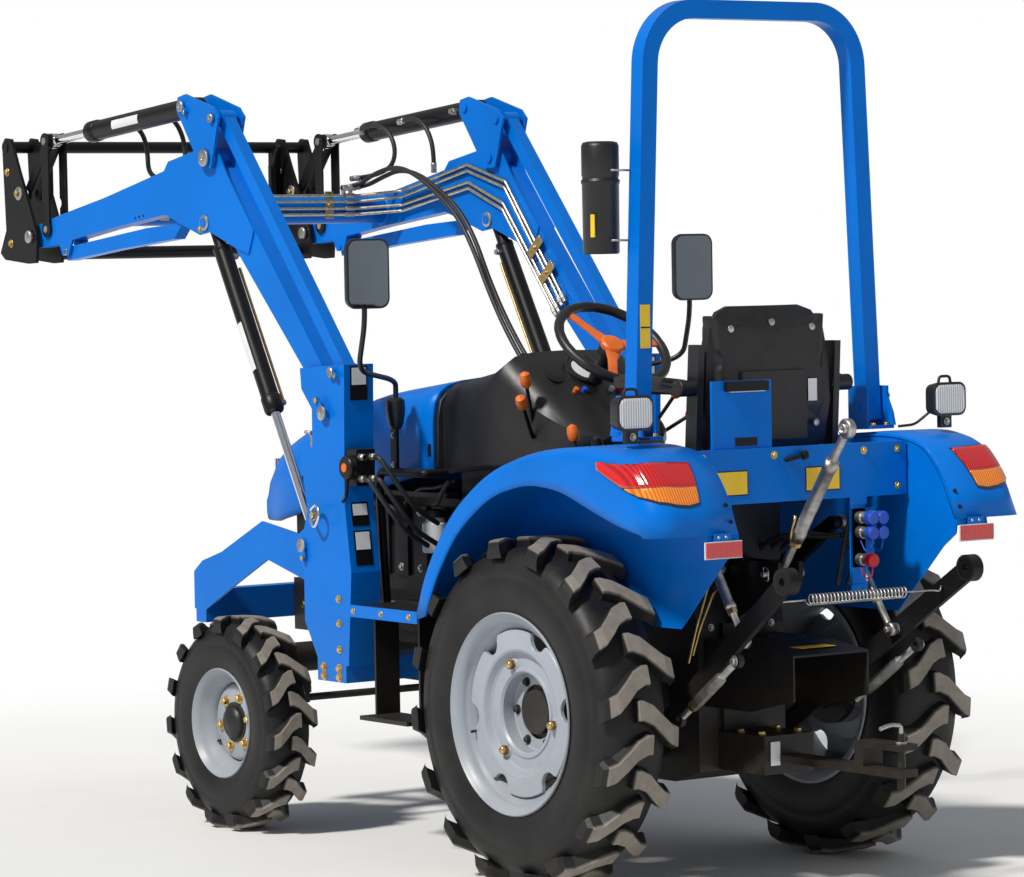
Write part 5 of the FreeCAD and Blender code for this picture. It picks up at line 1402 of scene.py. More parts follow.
def make_spring():
    """The long coil spring between the lower links, with its end hooks."""
    piece = Piece("link_spring_coiled", "hitch_links", "zinc", GALVANISED)
    low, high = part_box("link_spring")
    middle = (low + high) / 2
    radius = (high.x - low.x) / 2 - 0.0025
    start, end = middle.y - 0.165, middle.y + 0.165
    turns = 27
    points = []
    for step in range(turns * 16 + 1):
        turn = 2 * math.pi * step / 16
        points.append(Vector((middle.x + radius * math.cos(turn), start + (end - start) * step / (turns * 16),
                              middle.z + radius * math.sin(turn))))
    rings = []
    for index, point in enumerate(points):
        ahead = points[min(index + 1, len(points) - 1)] - points[max(index - 1, 0)]
        outward = Vector((point.x - middle.x, 0, point.z - middle.z)).normalized()
        other = ahead.normalized().cross(outward)
        rings.append([point + spoke(outward, other, turn) * 0.0025
                      for turn in (math.radians(60 * part) for part in range(6))])
    piece.rings(rings)
    for side, at in ((LEFT, end), (RIGHT, start)):
        piece.tube([Vector((middle.x + radius, at, middle.z)),
                    Vector((middle.x, at + side * 0.018, middle.z)),
                    Vector((middle.x, side * 0.262, middle.z)),
                    Vector((middle.x - 0.008, side * 0.282, middle.z - 0.004)),
                    Vector((middle.x - 0.004, side * 0.289, middle.z + 0.010))], 0.0024, 8, 0.4)
    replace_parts(piece.build(bevel=0), "link_spring")


def chain(piece, start, end, pitch, wire):
    """A short straight chain of oval links, each turned a quarter from the last."""
    run = end - start
    along = run.normalized()
    first, second = frame_of(along)
    count = max(2, int(run.length / pitch))
    for index in range(count):
        middle = start + run * ((index + 0.5) / count)
        across = first if index % 2 else second
        half_long, half_wide = pitch * 0.66, pitch * 0.34
        rings = []
        for step in range(16):
            turn = 2 * math.pi * step / 16
            spot = middle + along * half_long * math.cos(turn) + across * half_wide * math.sin(turn)
            outward = (along * math.cos(turn) / half_long + across * math.sin(turn) / half_wide).normalized()
            normal = along.cross(across)
            rings.append([spot + (outward * math.cos(part) + normal * math.sin(part)) * wire
                          for part in (math.radians(60 * piece_index) for piece_index in range(6))])
        piece.rings(rings, closed=True)


def make_drawbar_fittings():
    piece = Piece("drawbar_fittings", "chassis", "black_paint", BLACK)
    # the yellow plate and bolts of the drive shaft guard
    piece.use(YELLOW).box(place(-0.560, -0.060, 0.6512), place(-0.470, 0.060, 0.6526))
    piece.use(GOLD)
    for y in (-0.085, 0.085):
        piece.bolt(place(-0.2605, y, 0.600), -X_AXIS, 0.009)
        piece.bolt(place(-0.2605, y, 0.520), -X_AXIS, 0.009)
    piece.use(CAST)
    # splined drive shaft and its collar
    piece.turned(place(-0.330, 0, 0.570), -X_AXIS, [(0, 0.040), (0.010, 0.040), (0.014, 0.030),
                                                    (0.018, 0.030)], 40)
    piece.use(GALVANISED)
    rings = []
    for x in (-0.335, -0.395, -0.402, -0.408, -0.430):
        ring = []
        for step in range(48):
            turn = 2 * math.pi * step / 48
            tooth = 0.0174 if (step // 4) % 2 else 0.0150
            if x == -0.402:
                tooth = 0.0140
            ring.append(place(x, tooth * math.cos(turn), 0.570 + tooth * math.sin(turn)))
        rings.append(ring)
    piece.rings(rings, smooth=False)
    # drawbar pin with its handle, and the clevis bolts
    piece.use(GALVANISED)
    piece.tube([place(-0.888, 0, 0.448), place(-0.888, 0, 0.470), place(-0.888, 0.035, 0.474),
                place(-0.888, 0.070, 0.466)], 0.006, 12)
    piece.turned(place(-0.888, 0, 0.422), Z_AXIS, [(0, 0.017), (0.006, 0.017)], 24, capped=True)
    piece.use(GOLD)
    for x in (-0.390, -0.300):
        for y in (-0.062, 0.062):
            piece.bolt(place(x, y, 0.4085), Z_AXIS, 0.010)
    piece.use(BLACK).box(place(-0.4315, 0.030, 0.325), place(-0.4302, 0.068, 0.395))
    piece.use(WHITE).box(place(-0.4322, 0.033, 0.328), place(-0.4312, 0.065, 0.392))
    piece.use(BLACK)
    # a pair of check chains beside the lift
    piece.use(GALVANISED)
    for side in (LEFT, RIGHT):
        chain(piece, place(-0.247, side * 0.075, 0.640), place(-0.247, side * 0.075, 0.520), 0.022, 0.0022)
    piece.build(bevel=0.0012)


def make_rear_housing_details():
    """Cast covers, bolts and pipes on the rear of the transmission."""
    piece = Piece("rear_housing_details", "chassis", "cast_grey", CAST)
    rear = -0.2305
    for y, z, radius in ((0.0, 0.77, 0.05),):
        piece.turned(place(rear, y, z), -X_AXIS, [(0, radius), (0.006, radius), (0.008, radius - 0.006)], 40,
                     capped=True)
    piece.use(GALVANISED)
    for y in (-0.105, -0.06, 0.06, 0.105):
        piece.bolt(place(rear, y, 0.845), -X_AXIS, 0.007)
        piece.bolt(place(rear, y, 0.690), -X_AXIS, 0.007)
    piece.use(GOLD)
    piece.tube([place(-0.235, 0.10, 0.80), place(-0.262, 0.10, 0.80), place(-0.270, 0.13, 0.78),
                place(-0.270, 0.17, 0.70),
                place(-0.240, 0.175, 0.62)], 0.004, 8)
    piece.tube([place(-0.235, 0.12, 0.82), place(-0.262, 0.12, 0.82), place(-0.275, 0.15, 0.80),
                place(-0.275, 0.188, 0.70),
                place(-0.240, 0.190, 0.60)], 0.004, 8)
    piece.use(RUBBER)
    for y in (-0.07, -0.11, -0.15):
        piece.tube([place(-0.200, y, 0.862), place(-0.235, y - 0.005, 0.905), place(-0.300, y - 0.02, 0.935),
                    place(-0.390, -0.17 + 0.25 * (y + 0.11), 0.930),
                    place(-0.440, -0.195 + 0.3 * (y + 0.11), 0.935)], 0.0075, 10, 0.4)
    piece.build(bevel=0.001)


make_top_link()
make_lift_rods()
make_check_links()
make_lower_link_ends()
make_spring()
make_drawbar_fittings()
make_rear_housing_details()


# --------------------------------------------------------------------------- loader
# The loader's pivots in side view: metres forward of the rear axle, and up from the ground.
ARM_Y = 0.518
LIFT_FOOT = (1.084, 0.876)
LIFT_EYE = (1.629, 1.818)
KNEE = (1.590, 2.011)
KNEE_LINK = (1.545, 2.128)
TILT_BASE = (1.718, 2.170)
TILT_END = (2.598, 2.093)
TIP_PIN = (2.670, 1.790)
CARRIER_PIN = (2.741, 1.930)
MAST_PLATES = ((1.300, 1.398), (0.940, 1.008), (0.828, 0.928))  # bottom and top of each blank plate
MAST_BACK = 0.852
MAST_FOOT_BACK = (0.834, 0.862)  # the rear face over the foot, at its lower and upper end
MAST_FOOT_LOW, MAST_FOOT_RISE, MAST_FOOT_TOP = 0.809, 0.195, 1.2


def pivot(spot, y):
    """A side-view place at a sideways distance."""
    return place(spot[0], y, spot[1])


def round_cap(radius, thick, chamfer):
    """The half section of a pin's head: radius, thickness and chamfered edge."""
    return [(0, radius), (thick, radius), (thick + chamfer, radius - 0.004), (thick + chamfer, 0.0)]


def mast_back(level):
    """Where the mast's rear face is at a height; it leans over the foot."""
    if level > MAST_FOOT_TOP:
        return MAST_BACK
    low, high = MAST_FOOT_BACK
    return low + (level - MAST_FOOT_LOW) * (high - low) / MAST_FOOT_RISE


def pin_head(piece, x, z, side, y, radius, tab_turn=None, length=0.040):
    """A pivot pin's head on an outer face, with its retaining tab and bolt."""
    out = Vector((0, side, 0))
    at = place(x, side * y, z)
    piece.use(GALVANISED)
    piece.turned(at, out, [(0, radius), (0.005, radius), (0.007, radius * 0.86), (0.007, radius * 0.30),
                           (0.005, radius * 0.24), (0.005, 0.0)], 32)
    if tab_turn is not None:
        turn = math.radians(tab_turn)
        reach = Vector((math.cos(turn), 0, math.sin(turn)))
        across = reach.cross(out)
        half = radius * 0.55
        corners = [(radius * 0.7, half), (length - half, half), (length, 0), (length - half, -half),
                   (radius * 0.7, -half)]
        piece.use(BLUE)
        rings = [[at + reach * along + across * wide + out * depth for along, wide in corners]
                 for depth in (0.0, 0.004)]
        piece.rings(rings, smooth=False)
        piece.use(GOLD)
        piece.bolt(at + reach * (length - half * 1.1) + out * 0.004, out, radius * 0.42, washer=False)


def make_mast_fittings(name, side):
    piece = Piece(f"mast_fittings_{name}", "chassis", "zinc", GALVANISED)
    pin_head(piece, 0.949, 1.263, side, 0.582, 0.021, 60, 0.055)
    pin_head(piece, 0.906, 1.380, side, 0.578, 0.015, 200, 0.040)
    pin_head(piece, 1.084, 0.876, side, 0.574, 0.020, 250, 0.050)
    out = Vector((0, side, 0))
    piece.use(GOLD)
    for x, z in ((0.905, 0.530), (0.985, 0.530), (0.905, 0.505), (0.985, 0.505)):
        piece.bolt(place(x, side * 0.568, z), out, 0.0095)
    for z in (0.585, 0.66, 0.73):
        piece.bolt(place(0.90, side * 0.5685, z), out, 0.008)
    low, high = sorted((side * 0.490, side * 0.548))
    for bottom, top in MAST_PLATES:
        back, back_top = mast_back(bottom), mast_back(top)
        for material, inset, lift in ((BLACK, 0.0, 0.0016), (WHITE, 0.005, 0.0024)):
            piece.use(material)
            lower, upper = bottom + inset, top - inset
            if material is WHITE:
                lower = bottom + (top - bottom) * 0.45
            share_low = (lower - bottom) / (top - bottom)
            share_high = (upper - bottom) / (top - bottom)
            face_low = back + (back_top - back) * share_low
            face_high = back + (back_top - back) * share_high
            rings = [[place(face_low - lift, low + inset, lower), place(face_low - lift, high - inset, lower),
                      place(face_high - lift, high - inset, upper),
                      place(face_high - lift, low + inset, upper)],
                     [place(face_low + 0.004, low + inset, lower),
                      place(face_low + 0.004, high - inset, lower),
                      place(face_high + 0.004, high - inset, upper),
                      place(face_high + 0.004, low + inset, upper)]]
            piece.rings(rings, smooth=False)
    # spring latch pin in the notch and the loop handle
    piece.use(GALVANISED)
    piece.rod(place(1.050, side * 0.552, 1.060), place(1.050, side * 0.552, 1.195), 0.0065)
    for level in range(9):
        piece.turned(place(1.050, side * 0.552, 1.085 + level * 0.0065), Z_AXIS,
                     [(0, 0.0075), (0.0015, 0.0115), (0.003, 0.0075)], 18)
    piece.turned(place(1.050, side * 0.552, 1.145), Z_AXIS,
                 [(0, 0.006), (0, 0.014), (0.004, 0.014), (0.004, 0.006)], 20)
    piece.tube([place(1.050, side * 0.552, 1.190), place(1.052, side * 0.560, 1.205),
                place(1.070, side * 0.565, 1.205)], 0.005, 10)
    piece.use(CHROME)
    piece.tube([place(1.010, side * 0.574, 0.958), place(1.012, side * 0.592, 0.962),
                place(0.968, side * 0.604, 0.930),
                place(0.940, side * 0.604, 0.968), place(0.962, side * 0.598, 1.004),
                place(1.010, side * 0.590, 0.982),
                place(1.012, side * 0.574, 0.975)], 0.0048, 12, 0.42)
    piece.use(GOLD)
    piece.turned(place(1.011, side * 0.568, 0.966), out,
                 [(0, 0.014), (0.010, 0.014), (0.012, 0.010), (0.018, 0.010), (0.018, 0.0)], 24)
    piece.build(bevel=0.001)


def make_coupler_box():
    """The quick oil coupler with its lever and hoses, behind the left mast."""
    piece = Piece("oil_coupler_box", "chassis", "black_paint", BLACK)
    piece.box(place(0.800, 0.502, 1.057), place(0.8515, 0.566, 1.162))
    piece.turned(place(0.828, 0.566, 1.110), Y_AXIS, [(0, 0.034), (0.018, 0.034), (0.022, 0.030),
                                                      (0.022, 0.0)], 40)
    piece.use(ORANGE)
    piece.turned(place(0.828, 0.588, 1.110), Y_AXIS, [(0, 0.013), (0.004, 0.013), (0.005, 0.0)], 24)
    piece.use(BLACK)
    piece.tube([place(0.826, 0.580, 1.078), place(0.824, 0.586, 1.030), place(0.826, 0.600, 1.012)], 0.005,
               10)
    piece.use(GALVANISED)
    for y in (0.515, 0.552):
        for z in (1.078, 1.140):
            piece.turned(place(0.800, y, z), -X_AXIS, [(0, 0.011), (0.016, 0.011), (0.017, 0.008),
                                                       (0.024, 0.008)], 6, smooth=False)
    piece.use(RUBBER)
    for y, z in ((0.515, 1.078), (0.515, 1.140), (0.552, 1.078)):
        piece.tube([place(0.780, y, z), place(0.752, y, z - 0.004), place(0.735, y - 0.03, z - 0.06),
                    place(0.730, y - 0.10, z - 0.15), place(0.760, y - 0.20, z - 0.20)], 0.0075, 10, 0.42)
    piece.build(bevel=0.0015)


def make_boom_fittings():
    piece = Piece("boom_fittings", "loader_boom", "zinc", GALVANISED)
    for side in (LEFT, RIGHT):
        out = Vector((0, side, 0))
        for face in (0.549, -0.487):
            y = face if face > 0 else -face
            direction = side if face > 0 else -side
            piece.use(GALVANISED)
            piece.turned(pivot(LIFT_EYE, side * y), Vector((0, direction, 0)),
                         round_cap(0.024, 0.005, 0.002), 32)
            piece.turned(pivot(KNEE, side * y), Vector((0, direction, 0)),
                         [(0, 0.030), (0.004, 0.030), (0.004, 0.0)], 32)
        piece.use(GOLD)
        piece.bolt(place(1.655, side * 0.549, 1.800), out, 0.008)
        piece.use(BLUE)
        low, high = sorted((side * 0.496, side * 0.540))
        piece.slab([(1.64, 2.0205), (1.66, 2.0180), (1.66, 2.0240), (1.64, 2.0265)], low, high)
        for x in (2.000, 2.025, 2.050):
            piece.use(BLACK).turned(place(x, side * 0.5442, 1.846 - (x - 2.0) * 0.14), out,
                                    [(0, 0.0045), (0.0008, 0.0045), (0.0008, 0.0)], 14)
        piece.use(GOLD).turned(place(2.483, side * 0.544, 1.740), out,
                               [(0, 0.012), (0.006, 0.012), (0.008, 0.0)], 20)
    # weld beads where the cross tube meets the arms
    piece.use(BLUE)
    for side in (LEFT, RIGHT):
        piece.turned(place(2.240, side * 0.4915, 1.862), Vector((0, -side, 0)),
                     [(0, 0.053), (0.003, 0.051), (0.007, 0.0465)], 48)
    # clamps over the steel pipes
    piece.use(GOLD)
    for y in (-0.255, 0.08, 0.36):
        piece.box(place(2.1815, y - 0.016, 1.832), place(2.1845, y + 0.016, 1.920))
        piece.bolt(place(2.1815, y, 1.876), -X_AXIS, 0.007)
    for x, z, lean in ((1.360, 1.728, 0.88), (1.300, 1.650, 0.88)):
        along = Vector((math.cos(lean), 0, math.sin(lean)))
        across = Vector((-math.sin(lean), 0, math.cos(lean)))
        middle = place(x, -0.4755, z)
        corners = [middle + along * (0.016 * i) + across * (0.042 * j) for i,
                   j in ((-1, -1), (1, -1), (1, 1), (-1, 1))]
        piece.use(GOLD).rings([[point + Vector((0, shift,
                                                0)) for point in corners] for shift in (0.0, 0.003)],
                                                smooth=False)
        piece.bolt(middle + Vector((0, 0.003, 0)), Y_AXIS, 0.006)
    # unions between pipes and hoses
    piece.use(GALVANISED)
    for level in (1.906, 1.887, 1.865, 1.846):
        low, high = -0.352, -0.318
        piece.turned(place(2.186, low, level), Y_AXIS, [(0, 0.0065), (0, 0.0085), (0.034, 0.0085),
                                                        (0.034, 0.0065)], 6, smooth=False)
    for y in (-0.318, -0.345):
        piece.turned(place(2.186, y - 0.012, 1.931), Y_AXIS,
                     [(0, 0.008), (0, 0.011), (0.024, 0.011), (0.024, 0.008)], 6, smooth=False)
        piece.rod(place(2.186, y + 0.006, 1.925), place(2.186, y + 0.006, 1.900), 0.007)
    for x, z in ((1.232, 1.586), (1.247, 1.574), (1.264, 1.555), (1.279, 1.543)):
        along = Vector((-0.64, 0, -0.77))
        piece.turned(place(x, -0.479, z), along, [(0, 0.0065), (0, 0.0095), (0.020, 0.0095), (0.020, 0.0075),
                                                  (0.034, 0.0075), (0.034, 0.0)], 6, smooth=False)
    piece.build(bevel=0.0008, segments=1)


def wrapped_plate(piece, start, along, radius, low, high, middle_turn, spread):
    """A thin blank plate curved round a cylinder."""
    first, second = frame_of(along)
    turns = [middle_turn + spread * (step / 8 - 0.5) for step in range(9)]
    rings = []
    for distance in (low, high):
        outer, inner = [[start + along * distance + spoke(first, second, turn) * reach
                         for turn in turns] for reach in (radius + 0.0012, radius - 0.001)]
        rings.append(outer + inner[::-1])
    piece.rings(rings, smooth=False)


def outward_turn(along, direction):
    first, second = frame_of(along)
    return math.atan2(direction.dot(second), direction.dot(first))


def make_cylinder_fittings():
    for node, body, start, end, radius, begin, length in (
            ("tilt_barrels", "tilt_barrel_pair", TILT_BASE, TILT_END, 0.031, 0.040, 0.640),
            ("lift_barrels", "lift_barrel_pair", LIFT_EYE, LIFT_FOOT, 0.027, 0.088, 0.648)):
        piece = Piece(f"{node}_fittings", body, "black_paint", BLACK)
        for side in (LEFT, RIGHT):
            at = pivot(start, side * ARM_Y)
            along = (pivot(end, side * ARM_Y) - at).normalized()
            reach = length
            piece.use(BLACK)
            piece.turned(at, along, [(begin - 0.002, radius * 0.7), (begin, radius + 0.0012),
                                     (begin + 0.010, radius + 0.0012), (begin + 0.014, radius + 0.0002)], 40)
            piece.turned(at, along, [(reach - 0.052, radius), (reach - 0.048, radius + 0.003),
                                     (reach - 0.006, radius + 0.003), (reach + 0.001, radius - 0.001),
                                     (reach + 0.0012, radius * 0.62)], 40)
            piece.use(WHITE)
            out_turn = outward_turn(along, Vector((0, side, 0)))
            wrapped_plate(piece, at, along, radius, begin + 0.26, begin + 0.42, out_turn, 0.9)
            piece.use(GALVANISED)
            up = Vector((0, 0, 1)) - along * along.z
            up.normalize()
            if node == "tilt_barrels":
                inward = Vector((0, -side, 0))
                for distance in (begin + 0.036, reach - 0.030):
                    spot = at + along * distance + inward * (radius - 0.002)
                    piece.turned(spot, inward, [(0, 0.012), (0.016, 0.012), (0.017, 0.009), (0.026, 0.009)],
                                 6, smooth=False, capped=True)
            else:
                back = Vector((-1, 0, 0)) + along * along.x
                back.normalize()
                inward = Vector((0, -side, 0))
                for distance in (begin + 0.030, reach - 0.030):
                    spot = at + along * distance + inward * (radius - 0.002)
                    piece.turned(spot, inward, [(0, 0.011), (0.014, 0.011), (0.015, 0.009), (0.020, 0.009)],
                                 6, smooth=False, capped=True)
                piece.use(GOLD)
                spot = at + along * (reach - 0.030) + inward * (radius + 0.014)
                top = at + along * (begin + 0.070) + inward * (radius + 0.012)
                piece.tube([spot, spot - along * 0.05, top], 0.0045, 10, 0.3)
        piece.build(bevel=0.0006, segments=1)
    rods = Piece("cylinder_rod_wipers", "tilt_rod_pair", "chrome", CHROME)
    for side in (LEFT, RIGHT):
        end = pivot(TILT_END, side * ARM_Y)
        start = pivot(TILT_BASE, side * ARM_Y)
        along = (end - start).normalized()
        rods.turned(end - along * 0.034, along, [(0, 0.016), (0.002, 0.0185), (0.012, 0.0185),
                                                 (0.016, 0.016)], 32)
    rods.build(bevel=0)


def make_linkage_fittings():
    piece = Piece("bellcrank_fittings", "bellcrank_pair", "zinc", GALVANISED)
    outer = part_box("bellcranks")[1].y
    for side in (LEFT, RIGHT):
        out = Vector((0, side, 0))
        pin_head(piece, *TILT_BASE, side, outer - 0.0005, 0.017, 215, 0.044)
        pin_head(piece, *KNEE_LINK, side, outer - 0.0005, 0.014)
        piece.use(GALVANISED)
        piece.turned(pivot(KNEE, side * (outer - 0.0005)), out,
                     [(0, 0.026), (0.005, 0.026), (0.007, 0.021), (0.007, 0.008), (0.005, 0.006),
                      (0.005, 0.0)], 32)
    piece.build(bevel=0.0008, segments=1)
    carrier = Piece("carrier_fittings", "carrier", "zinc", GALVANISED)
    for side in (LEFT, RIGHT):
        out = Vector((0, side, 0))
        for y in (0.569, 0.467):
            direction = out if y > 0.5 else -out
            carrier.use(GALVANISED)
            carrier.turned(pivot(CARRIER_PIN, side * y), direction, round_cap(0.022, 0.004, 0.002), 28)
            carrier.use(GOLD)
            carrier.bolt(pivot(CARRIER_PIN, side * y) + direction * 0.006, direction, 0.010, washer=False)
            carrier.bolt(place(2.800, side * y, 1.770), direction, 0.009)
            carrier.bolt(place(2.815, side * y, 2.000), direction, 0.009)
        carrier.use(BLACK)
        carrier.turned(place(2.826, side * 0.569, 2.080), out,
                       [(0, 0.0185), (0.003, 0.0185), (0.004, 0.014), (0.002, 0.013), (0.002, 0.0)], 32)
        carrier.use(GALVANISED)
        carrier.rod(place(2.835, side * 0.428, 1.735), place(2.860, side * 0.428, 1.735), 0.012)
        carrier.use(BLACK)
        carrier.tube([place(2.795, side * 0.430, 2.010), place(2.778, side * 0.430, 2.060),
                      place(2.760, side * 0.430, 2.085)], 0.008, 12)
        carrier.mirrored_box(side, (2.788, 0.416, 1.760), (2.806, 0.438, 2.020))
    carrier.build(bevel=0.001)
    tips = Piece("tip_pin_heads", "tip_pin_pair", "zinc", GALVANISED)
    for side in (LEFT, RIGHT):
        tips.turned(pivot(TIP_PIN, side * 0.5755), Vector((0, side, 0)), round_cap(0.020, 0.005, 0.002), 28)
        tips.turned(pivot(TIP_PIN, side * 0.462), Vector((0, -side, 0)), round_cap(0.020, 0.005, 0.002), 28)
    tips.build(bevel=0)


# --------------------------------------------------------------------------- engine, floor and steps
def make_engine_details():
    piece = Piece("engine_details", "chassis", "cast_grey", CAST)
    for side in (LEFT, RIGHT):
        out = Vector((0, side, 0))
        for index in range(4):
            x = 0.93 + 0.10 * index
            piece.use(CAST).mirrored_box(side, (x - 0.034, 0.185, 0.765), (x + 0.034, 0.196, 0.975))
            piece.use(GALVANISED).bolt(place(x, side * 0.196, 0.955), out, 0.008)
            piece.bolt(place(x, side * 0.196, 0.790), out, 0.008)
    piece.use(WHITE)
    piece.turned(place(0.905, 0.228, 0.845), Z_AXIS, [(0, 0.0), (0, 0.034), (0.004, 0.038), (0.085, 0.038),
                                                      (0.090, 0.030), (0.096, 0.026), (0.105, 0.026),
                                                      (0.105, 0.0)], 36)
    piece.use(BLACK)
    piece.turned(place(0.905, 0.228, 0.948), Z_AXIS, [(0, 0.036), (0.020, 0.036), (0.024, 0.020),
                                                      (0.024, 0.0)], 36)
    piece.use(CAST)
    piece.turned(place(1.02, -0.232, 0.880), X_AXIS, [(0, 0.0), (0, 0.040), (0.006, 0.046), (0.10, 0.046),
                                                      (0.106, 0.040), (0.106, 0.0)], 36)
    piece.use(ZINC)
    piece.tube([place(0.90, 0.205, 0.760), place(0.90, 0.212, 0.700), place(0.96, 0.214, 0.660),
                place(1.20, 0.214, 0.660), place(1.30, 0.212, 0.700)], 0.006, 10)
    piece.tube([place(0.86, 0.200, 0.900), place(0.84, 0.215, 0.860), place(0.84, 0.215, 0.740),
                place(0.88, 0.214, 0.690), place(1.18, 0.214, 0.684)], 0.005, 10)
    piece.use(RUBBER)
    piece.tube([place(1.10, 0.200, 0.93), place(1.12, 0.224, 0.96), place(1.20, 0.226, 0.985),
                place(1.30, 0.222, 0.985), place(1.37, 0.200, 0.955)], 0.016, 14)
    piece.tube([place(0.84, -0.200, 0.93), place(0.86, -0.222, 0.90), place(0.98, -0.224, 0.78),
                place(1.20, -0.222, 0.74)], 0.010, 12)
    piece.tube([place(0.80, 0.245, 1.060), place(0.84, 0.248, 1.020), place(0.86, 0.246, 0.990),
                place(0.905, 0.228, 0.985)], 0.007, 10)
    piece.tube([place(0.80, 0.225, 1.060), place(0.87, 0.236, 1.035), place(0.98, 0.232, 1.030),
                place(1.08, 0.215, 0.980)], 0.006, 10)
    piece.use(BLACK)
    piece.box(place(0.83, 0.190, 1.005), place(1.25, 0.235, 1.020))
    piece.box(place(0.83, -0.235, 1.005), place(1.25, -0.190, 1.020))
    piece.build(bevel=0.002)


def make_floor_mats():
    piece = Piece("floor_mats", "chassis", "black_plastic", RUBBER)
    for side in (LEFT, RIGHT):
        piece.use(RUBBER).mirrored_box(side, (0.470, 0.175, 0.7215), (0.780, 0.455, 0.7265))
        for rib in range(9):
            x = 0.490 + 0.034 * rib
            piece.mirrored_box(side, (x, 0.185, 0.7265), (x + 0.012, 0.445, 0.7290))
        piece.use(BLUE)
        piece.mirrored_box(side, (0.440, 0.606, 0.690), (0.788, 0.612, 0.724))
        piece.use(GOLD)
        for x in (0.48, 0.62, 0.76):
            piece.bolt(place(x, side * 0.612, 0.707), Vector((0, side, 0)), 0.006)
    piece.build(bevel=0.001)


def make_axle_details():
    piece = Piece("axle_and_frame_bolts", "chassis", "zinc", GALVANISED)
    for side in (LEFT, RIGHT):
        out = Vector((0, side, 0))
        for x in (0.80, 0.90, 1.00, 1.12, 1.24, 1.40, 1.60, 1.74):
            piece.use(GOLD).bolt(place(x, side * 0.150, 0.640), out, 0.010)
    piece.build(bevel=0)
    for name, side in SIDES.items():
        knuckle = Piece(f"knuckle_fittings_{name}", f"{name}_knuckle", "zinc", GALVANISED)
        top = place(1.550, side * 0.375, 0.556)
        knuckle.bolt(top, Z_AXIS, 0.012)
        knuckle.build(bevel=0)


both(make_mast_fittings)
make_coupler_box()
make_boom_fittings()
make_cylinder_fittings()
make_linkage_fittings()
make_engine_details()
make_floor_mats()
make_axle_details()


# --------------------------------------------------------------------------- hydraulic hoses
BOOM_HOSE_FRONT = [(2186, -345, 1931), (2186, -400, 1936), (2112, -412, 1962), (2010, -415, 1986),
                   (1895, -415, 1966), (1790, -415, 1915), (1688, -415, 1858), (1600, -415, 1765),
                   (1522, -416, 1625), (1425, -418, 1487), (1302, -421, 1352), (1165, -424, 1236),
                   (1068, -428, 1172), (1000, -434, 1136), (980, -446, 1122)]
BOOM_HOSE_REAR = [(2186, -318, 1931), (2186, -372, 1940), (2104, -385, 1978), (1985, -388, 1996),
                  (1868, -388, 1962), (1760, -388, 1902), (1655, -388, 1834), (1568, -388, 1728),
                  (1486, -389, 1588), (1390, -391, 1455), (1268, -394, 1326), (1134, -398, 1206),
                  (1044, -404, 1128), (990, -418, 1086), (972, -446, 1070)]
TILT_ROD_END = [(2330, 461, 2119), (2262, 459, 2136), (2186, 461, 2132), (2124, 463, 2096),
                (2104, 463, 2040), (2118, 454, 1996), (2150, 424, 1974), (2176, 384, 1964), (2186, 340, 1960)]
TILT_BASE_END = [(2080, 461, 2139), (2012, 459, 2152), (1942, 459, 2136), (1896, 459, 2086),
                 (1880, 459, 2026), (1886, 462, 1972)]
HOSE_RADIUS = 0.0075


def hose_line(route, side=LEFT):
    """Close points along the smooth curve that a hose takes through its route, in mm from the rear axle."""
    data = bpy.data.curves.new("hose_line", "CURVE")
    data.dimensions = "3D"
    data.resolution_u = 8
    spline = data.splines.new("NURBS")
    spline.points.add(len(route) - 1)
    for point, (x, y, z) in zip(spline.points, route):
        point.co = (*place(x / 1000, side * y / 1000, z / 1000), 1)
    spline.order_u = 3
    spline.use_endpoint_u = True
    thing = bpy.data.objects.new("hose_line", data)
    bpy.context.scene.collection.objects.link(thing)
    mesh = bpy.data.meshes.new_from_object(thing.evaluated_get(bpy.context.evaluated_depsgraph_get()))
    line = [vertex.co.copy() for vertex in mesh.vertices]
    bpy.data.objects.remove(thing)
    return line


def add_hose(piece, line):
    """A rubber hose with a crimped sleeve and a hexagon union at each end."""
    piece.use(RUBBER).sweep(line, HOSE_RADIUS, 16)
    for end, inward in ((line[0], line[1] - line[0]), (line[-1], line[-2] - line[-1])):
        piece.use(GALVANISED)
        piece.turned(end, inward, [(0.0, 0.0070), (0.0, 0.0102), (0.010, 0.0102), (0.011, 0.0070)], 6,
                     smooth=False)
        piece.turned(end, inward, [(0.011, 0.0078), (0.012, 0.0092), (0.017, 0.0088), (0.018, 0.0092),
                                   (0.023, 0.0088),
                                   (0.024, 0.0092), (0.031, 0.0090), (0.032, 0.0070)], 24)


def make_hoses():
    piece = Piece("boom_hose_pair", None, "hose_rubber", RUBBER)
    for route in (BOOM_HOSE_FRONT, BOOM_HOSE_REAR):
        add_hose(piece, hose_line(route))
    pair = piece.build(bevel=0)
    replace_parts(pair, "boom_hoses")
    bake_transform(pair)
    piece = Piece("tilt_hose_set", "tilt_barrel_pair", "hose_rubber", RUBBER)
    for side in (LEFT, RIGHT):
        for route in (TILT_ROD_END, TILT_BASE_END):
            add_hose(piece, hose_line(route, side))
    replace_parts(piece.build(bevel=0), "tilt_hoses")


make_hoses()


# --------------------------------------------------------------------------- stage, light and camera


